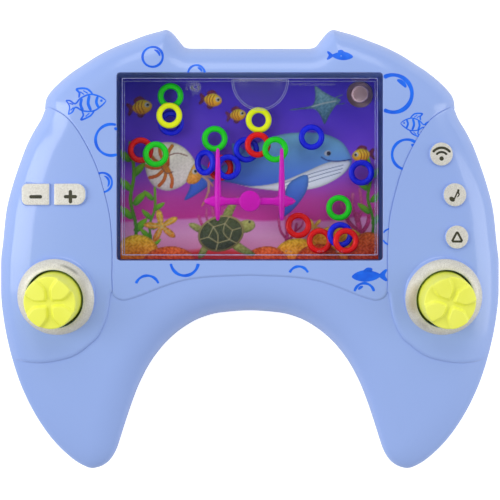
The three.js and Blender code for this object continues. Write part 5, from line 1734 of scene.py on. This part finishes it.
def buildRings(spec):
    # A squarish tube round a circle: r = R + t cos^p v and z = t sin^p v with the signs kept
    around = fullTurn(72)[:, None]
    section = np.linspace(0, 2 * np.pi, 25)[None]
    thick, gap, power = spec["tube"], spec["gap"], spec["squareness"]
    r = spec["radius"] + thick * signedPower(np.cos(section), power)
    z = np.broadcast_to(thick * signedPower(np.sin(section), power), (72, 25))
    base = np.stack([r * np.cos(around), r * np.sin(around), z], -1)
    outer = spec["radius"] + thick
    reach = tank["wall"] + outer + gap
    halfRoom = tank["halfWidth"] - reach
    roomHeight = tank["top"] - tank["bottom"] - 2 * reach
    pitch = 2 * thick + gap
    count = 0
    for (across, up), members in spec["heaps"]:
        for colour, dx, dy, level, tilt in members:
            count += 1
            a = math.radians(tilt)
            spin = np.array([[math.cos(a), 0, math.sin(a)], [0, 1, 0], [-math.sin(a), 0, math.cos(a)]])
            place = (
                across * halfRoom + dx * outer,
                tank["bottom"] + reach + up * roomHeight + dy * outer,
                tank["back"] + gap + thick + level * pitch,
            )
            part = moved(grid(base, closed=True), place, spin)
            piece(f"ring_{count:02d}_smooth", part, ringMaterials[colour],
                  stands=[f"ring_{count:02d}"], sharp=80)


buildRings(rings)
print("tank, pegs and rings done")

# Filler plug

plug = {"heights": (2.6, 3.6, 9.0), "head": 4.4, "stem": 2.8, "edge": 0.3}
plugMaterial = mouldedPlastic("soft_plastic", {
    "dark": (214, 176, 178), "light": (228, 196, 196), "rough": 0.5, "specular": 0.35, "bump": 0.12,
    "milk": 0.25, "drift": 200,
})


def buildPlug(spec):
    # A turned profile: the head, its rounded edge and the stem in the neck
    low, ledge, top = spec["heights"]
    head, stem, edge = spec["head"], spec["stem"], spec["edge"]
    profile = rounded([
        (0, low), (head - 0.25, low), (head, low + edge), (head, ledge), (stem, ledge), (stem, top - edge),
        (stem - edge, top), (0, top),
    ], 0.15)
    piece("filler_plug_smooth", moved(turned(profile, 72), (*tank["filler"], 0)), plugMaterial,
          body="filler_plug", stands=["filler_plug"])


buildPlug(plug)

# Screws

screwMaterial = silverFoil("screw_steel", {
    "dark": (150, 152, 156), "light": (196, 198, 202), "worn": (168, 166, 160), "grain": 5200, "metal": 0.95,
})


def buildScrews(spec):
    # The head is a height over a disc: flat, rounded at its rim, with a cross sunk into it
    angles = fullTurn(96)[:, None]
    radii = np.concatenate([np.linspace(0, 2.0, 34), np.linspace(2.0, spec["head"], 14)[1:]])[None]
    x, y = radii * np.cos(angles), radii * np.sin(angles)
    arm = np.minimum(np.abs(x), np.abs(y))
    deep = ramp((spec["crossHalf"] - arm) / 0.14) * ramp((spec["crossReach"] - np.hypot(x, y)) / 0.2)
    dome = 0.45 * (1 - quarterRound((spec["head"] - radii) / 0.9)) + 0.12 * (radii / spec["head"]) ** 2
    z = spec["recess"] + dome + spec["crossDepth"] * deep
    top = np.stack([x, y, z], -1)
    headTop = spec["recess"] + spec["headThickness"]
    end = headTop + 0.3 + spec["length"]
    heights = np.linspace(headTop, end - 1.6, 150)
    thread = 1.12 + 0.18 * (0.5 + 0.5 * np.cos(2 * np.pi * heights / spec["threadPitch"])) ** 2
    shank = np.stack([thread, heights], -1)
    profile = np.vstack([[(spec["head"], headTop - 0.2), (spec["head"] - 0.15, headTop)], shank, [(0, end)]])
    below = turned(profile, 96)[0].reshape(96, len(profile), 3)
    whole = np.concatenate([top, below], 1)[::2]
    for side, word in bothSides:
        for where, (sx, sy) in zip(("top", "side", "grip"), spec["places"]):
            piece(f"screw_{where}_{word}_smooth", moved(grid(whole, closed=True), (side * sx, sy, 0)),
                  screwMaterial, stands=[f"screw_{where}_{word}"], sharp=50)


buildScrews(screws)

# Soft pumps inside

bellows = {
    "radius": 6.9, "fold": 0.6, "folds": 4, "flange": 10.6, "flangeThickness": 1.2, "seatHeight": 4.6,
    "hoseSeat": 3.7, "hoseRadius": 2.3, "spout": 1.3, "spoutReach": 3.0, "travel": 4.0,
    "hoseEnd": (36.525, 11.6), "hoseStraight": 7.0, "spoutLength": 5.5,
}
bellowsMaterial = mouldedPlastic("bellows_plastic", {
    "dark": (216, 218, 212), "light": (234, 236, 230), "rough": 0.5, "specular": 0.35, "bump": 0.1,
    "milk": 0.2, "drift": 80,
})


def buildBellows(side, word, spec):
    # The bellows are turned: the wall's radius follows a cosine over the height, once for each fold
    origin, basis, axis = pumpFrame(side)
    radius, fold = spec["radius"], spec["fold"]
    depth = (origin[2] - spec["seatHeight"]) / axis[2]
    hoseDepth = depth - spec["hoseSeat"]
    top = knob["height"] - knob["topThickness"] - 0.3
    neck, foot = -hoseDepth + spec["hoseRadius"], top - fold * 3
    h = np.linspace(neck, foot, 90)
    wave = radius - fold * (1 - np.cos(2 * np.pi * spec["folds"] * (h - neck) / (foot - neck)))
    flange, flangeTop = spec["flange"], -depth + spec["flangeThickness"]
    profile = np.vstack([
        rounded([
            (0, -depth), (flange, -depth), (flange, flangeTop), (radius, flangeTop), (radius, neck),
        ], 0.4),
        np.stack([wave, h], -1)[1:],
        rounded([(radius, foot), (radius * 0.62, top), (0, top)], 1.2)[1:],
    ])
    towards = np.array([-side, 0, 0]) @ basis
    towards[2] = 0
    towards /= np.linalg.norm(towards)
    start = np.array([0, 0, -hoseDepth])
    spout = tube(np.linspace(start, start + towards * (radius + spec["spoutReach"]), 12), spec["spout"])
    body = moved(together([turned(profile, 72), spout]), origin, basis)
    item = piece(f"{word}_bellows", body, bellowsMaterial, stands=[f"{word}_pump_bulb"])
    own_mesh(item)

    def onHose(length):
        return (start + towards * length) @ basis.T + origin

    first = radius + 0.3
    second = first + spec["spoutLength"]
    hoseX, hoseZ = spec["hoseEnd"]
    hoseX *= side
    end = tank["bottom"] - tank["flange"] - 0.3
    bend = np.array([hoseX, end - spec["hoseStraight"], hoseZ])
    path = throughPoints([
        onHose(first), onHose(second), bend * 2 / 3 + onHose(second) / 3,
        (hoseX, end - spec["spoutLength"] + 0.3, hoseZ), (hoseX, end - spec["spoutLength"] / 2, hoseZ),
        (hoseX, end, hoseZ),
    ], 14)
    piece(f"{word}_tube", tube(path, spec["hoseRadius"], 32), bellowsMaterial,
          stands=[f"{word}_hose"])


for side, word in bothSides:
    buildBellows(side, word, bellows)
print("pumps done")

# Light and floor

studio = {
    "world": 0.47, "sideSize": (0.5, 0.9), "topSize": (0.8, 0.4),
    "left": ((-0.75, 0.1, 0.55), 4.7), "right": ((0.85, 0.0, 0.3), 3.2), "top": ((0.0, 0.75, 0.7), 2.0),
    "floor": (236, 238, 244), "floorLight": (242, 243, 247), "floorLift": 0.75, "floorReach": 6.0,
}


def softBox(name, place, size, watts):
    light = bpy.data.lights.new(name, "AREA")
    light.shape = "RECTANGLE"
    light.size, light.size_y = size
    light.energy = watts
    item = bpy.data.objects.new(name, light)
    item.location = place
    item.rotation_mode = "QUATERNION"
    item.rotation_quaternion = (-Vector(place)).to_track_quat("-Z", "Y")
    bpy.context.collection.objects.link(item)


def setStudio(spec):
    # Three soft boxes, and a world that is white where it is seen and dimmer where it lights
    for word in ("left", "right", "top"):
        place, watts = spec[word]
        softBox(f"box_{word}", place, spec["topSize" if word == "top" else "sideSize"], watts)
    world = bpy.data.worlds.new("studio")
    bpy.context.scene.world = world
    world.use_nodes = True
    tree = world.node_tree
    tree.nodes.clear()
    seen = add(tree, "ShaderNodeLightPath")
    ways = add(tree, "ShaderNodeMath", operation="MAXIMUM")
    tree.links.new(seen.outputs["Is Camera Ray"], ways.inputs[0])
    tree.links.new(seen.outputs["Is Transmission Ray"], ways.inputs[1])
    light = add(tree, "ShaderNodeBackground", {"Color": (1, 1, 1, 1), "Strength": spec["world"]})
    white = add(tree, "ShaderNodeBackground", {"Color": (1, 1, 1, 1), "Strength": 1.0})
    mix = add(tree, "ShaderNodeMixShader",
              links={0: ways.outputs[0], 1: light.outputs[0], 2: white.outputs[0]})
    out = add(tree, "ShaderNodeOutputWorld")
    tree.links.new(mix.outputs[0], out.inputs["Surface"])


def setFloor(spec):
    # Pale floor that keeps the shadow; what the camera sees of it is lifted towards white
    material, tree, output = newMaterial("floor")
    place = objectPlace(tree)
    tone = steps(tree, noise(tree, 3, 2, 0.5, place), [
        (0.3, rgba(spec["floor"])), (0.7, rgba(spec["floorLight"])),
    ])
    diffuse = add(tree, "ShaderNodeBsdfDiffuse", links={"Color": tone})
    glow = add(tree, "ShaderNodeEmission", {"Color": (1, 1, 1, 1), "Strength": spec["floorLift"]})
    seen = add(tree, "ShaderNodeLightPath")
    dark = add(tree, "ShaderNodeEmission", {"Color": (0, 0, 0, 1), "Strength": 0.0})
    lift = add(tree, "ShaderNodeMixShader",
               links={0: seen.outputs["Is Camera Ray"], 1: dark.outputs[0], 2: glow.outputs[0]})
    both = add(tree, "ShaderNodeAddShader", links={0: diffuse.outputs[0], 1: lift.outputs[0]})
    tree.links.new(both.outputs[0], output.inputs["Surface"])
    mesh = bpy.data.meshes.new("floor")
    size = spec["floorReach"]
    corners = [(-size, -size, 0), (size, -size, 0), (size, size, 0), (-size, size, 0)]
    mesh.from_pydata(corners, [], [(0, 1, 2, 3)])
    mesh.materials.append(material)
    item = bpy.data.objects.new("floor", mesh)
    item.location.z = -0.0002
    bpy.context.collection.objects.link(item)


setStudio(studio)
setFloor(studio)
bpy.context.scene.view_settings.view_transform = "Standard"
print("studio done")
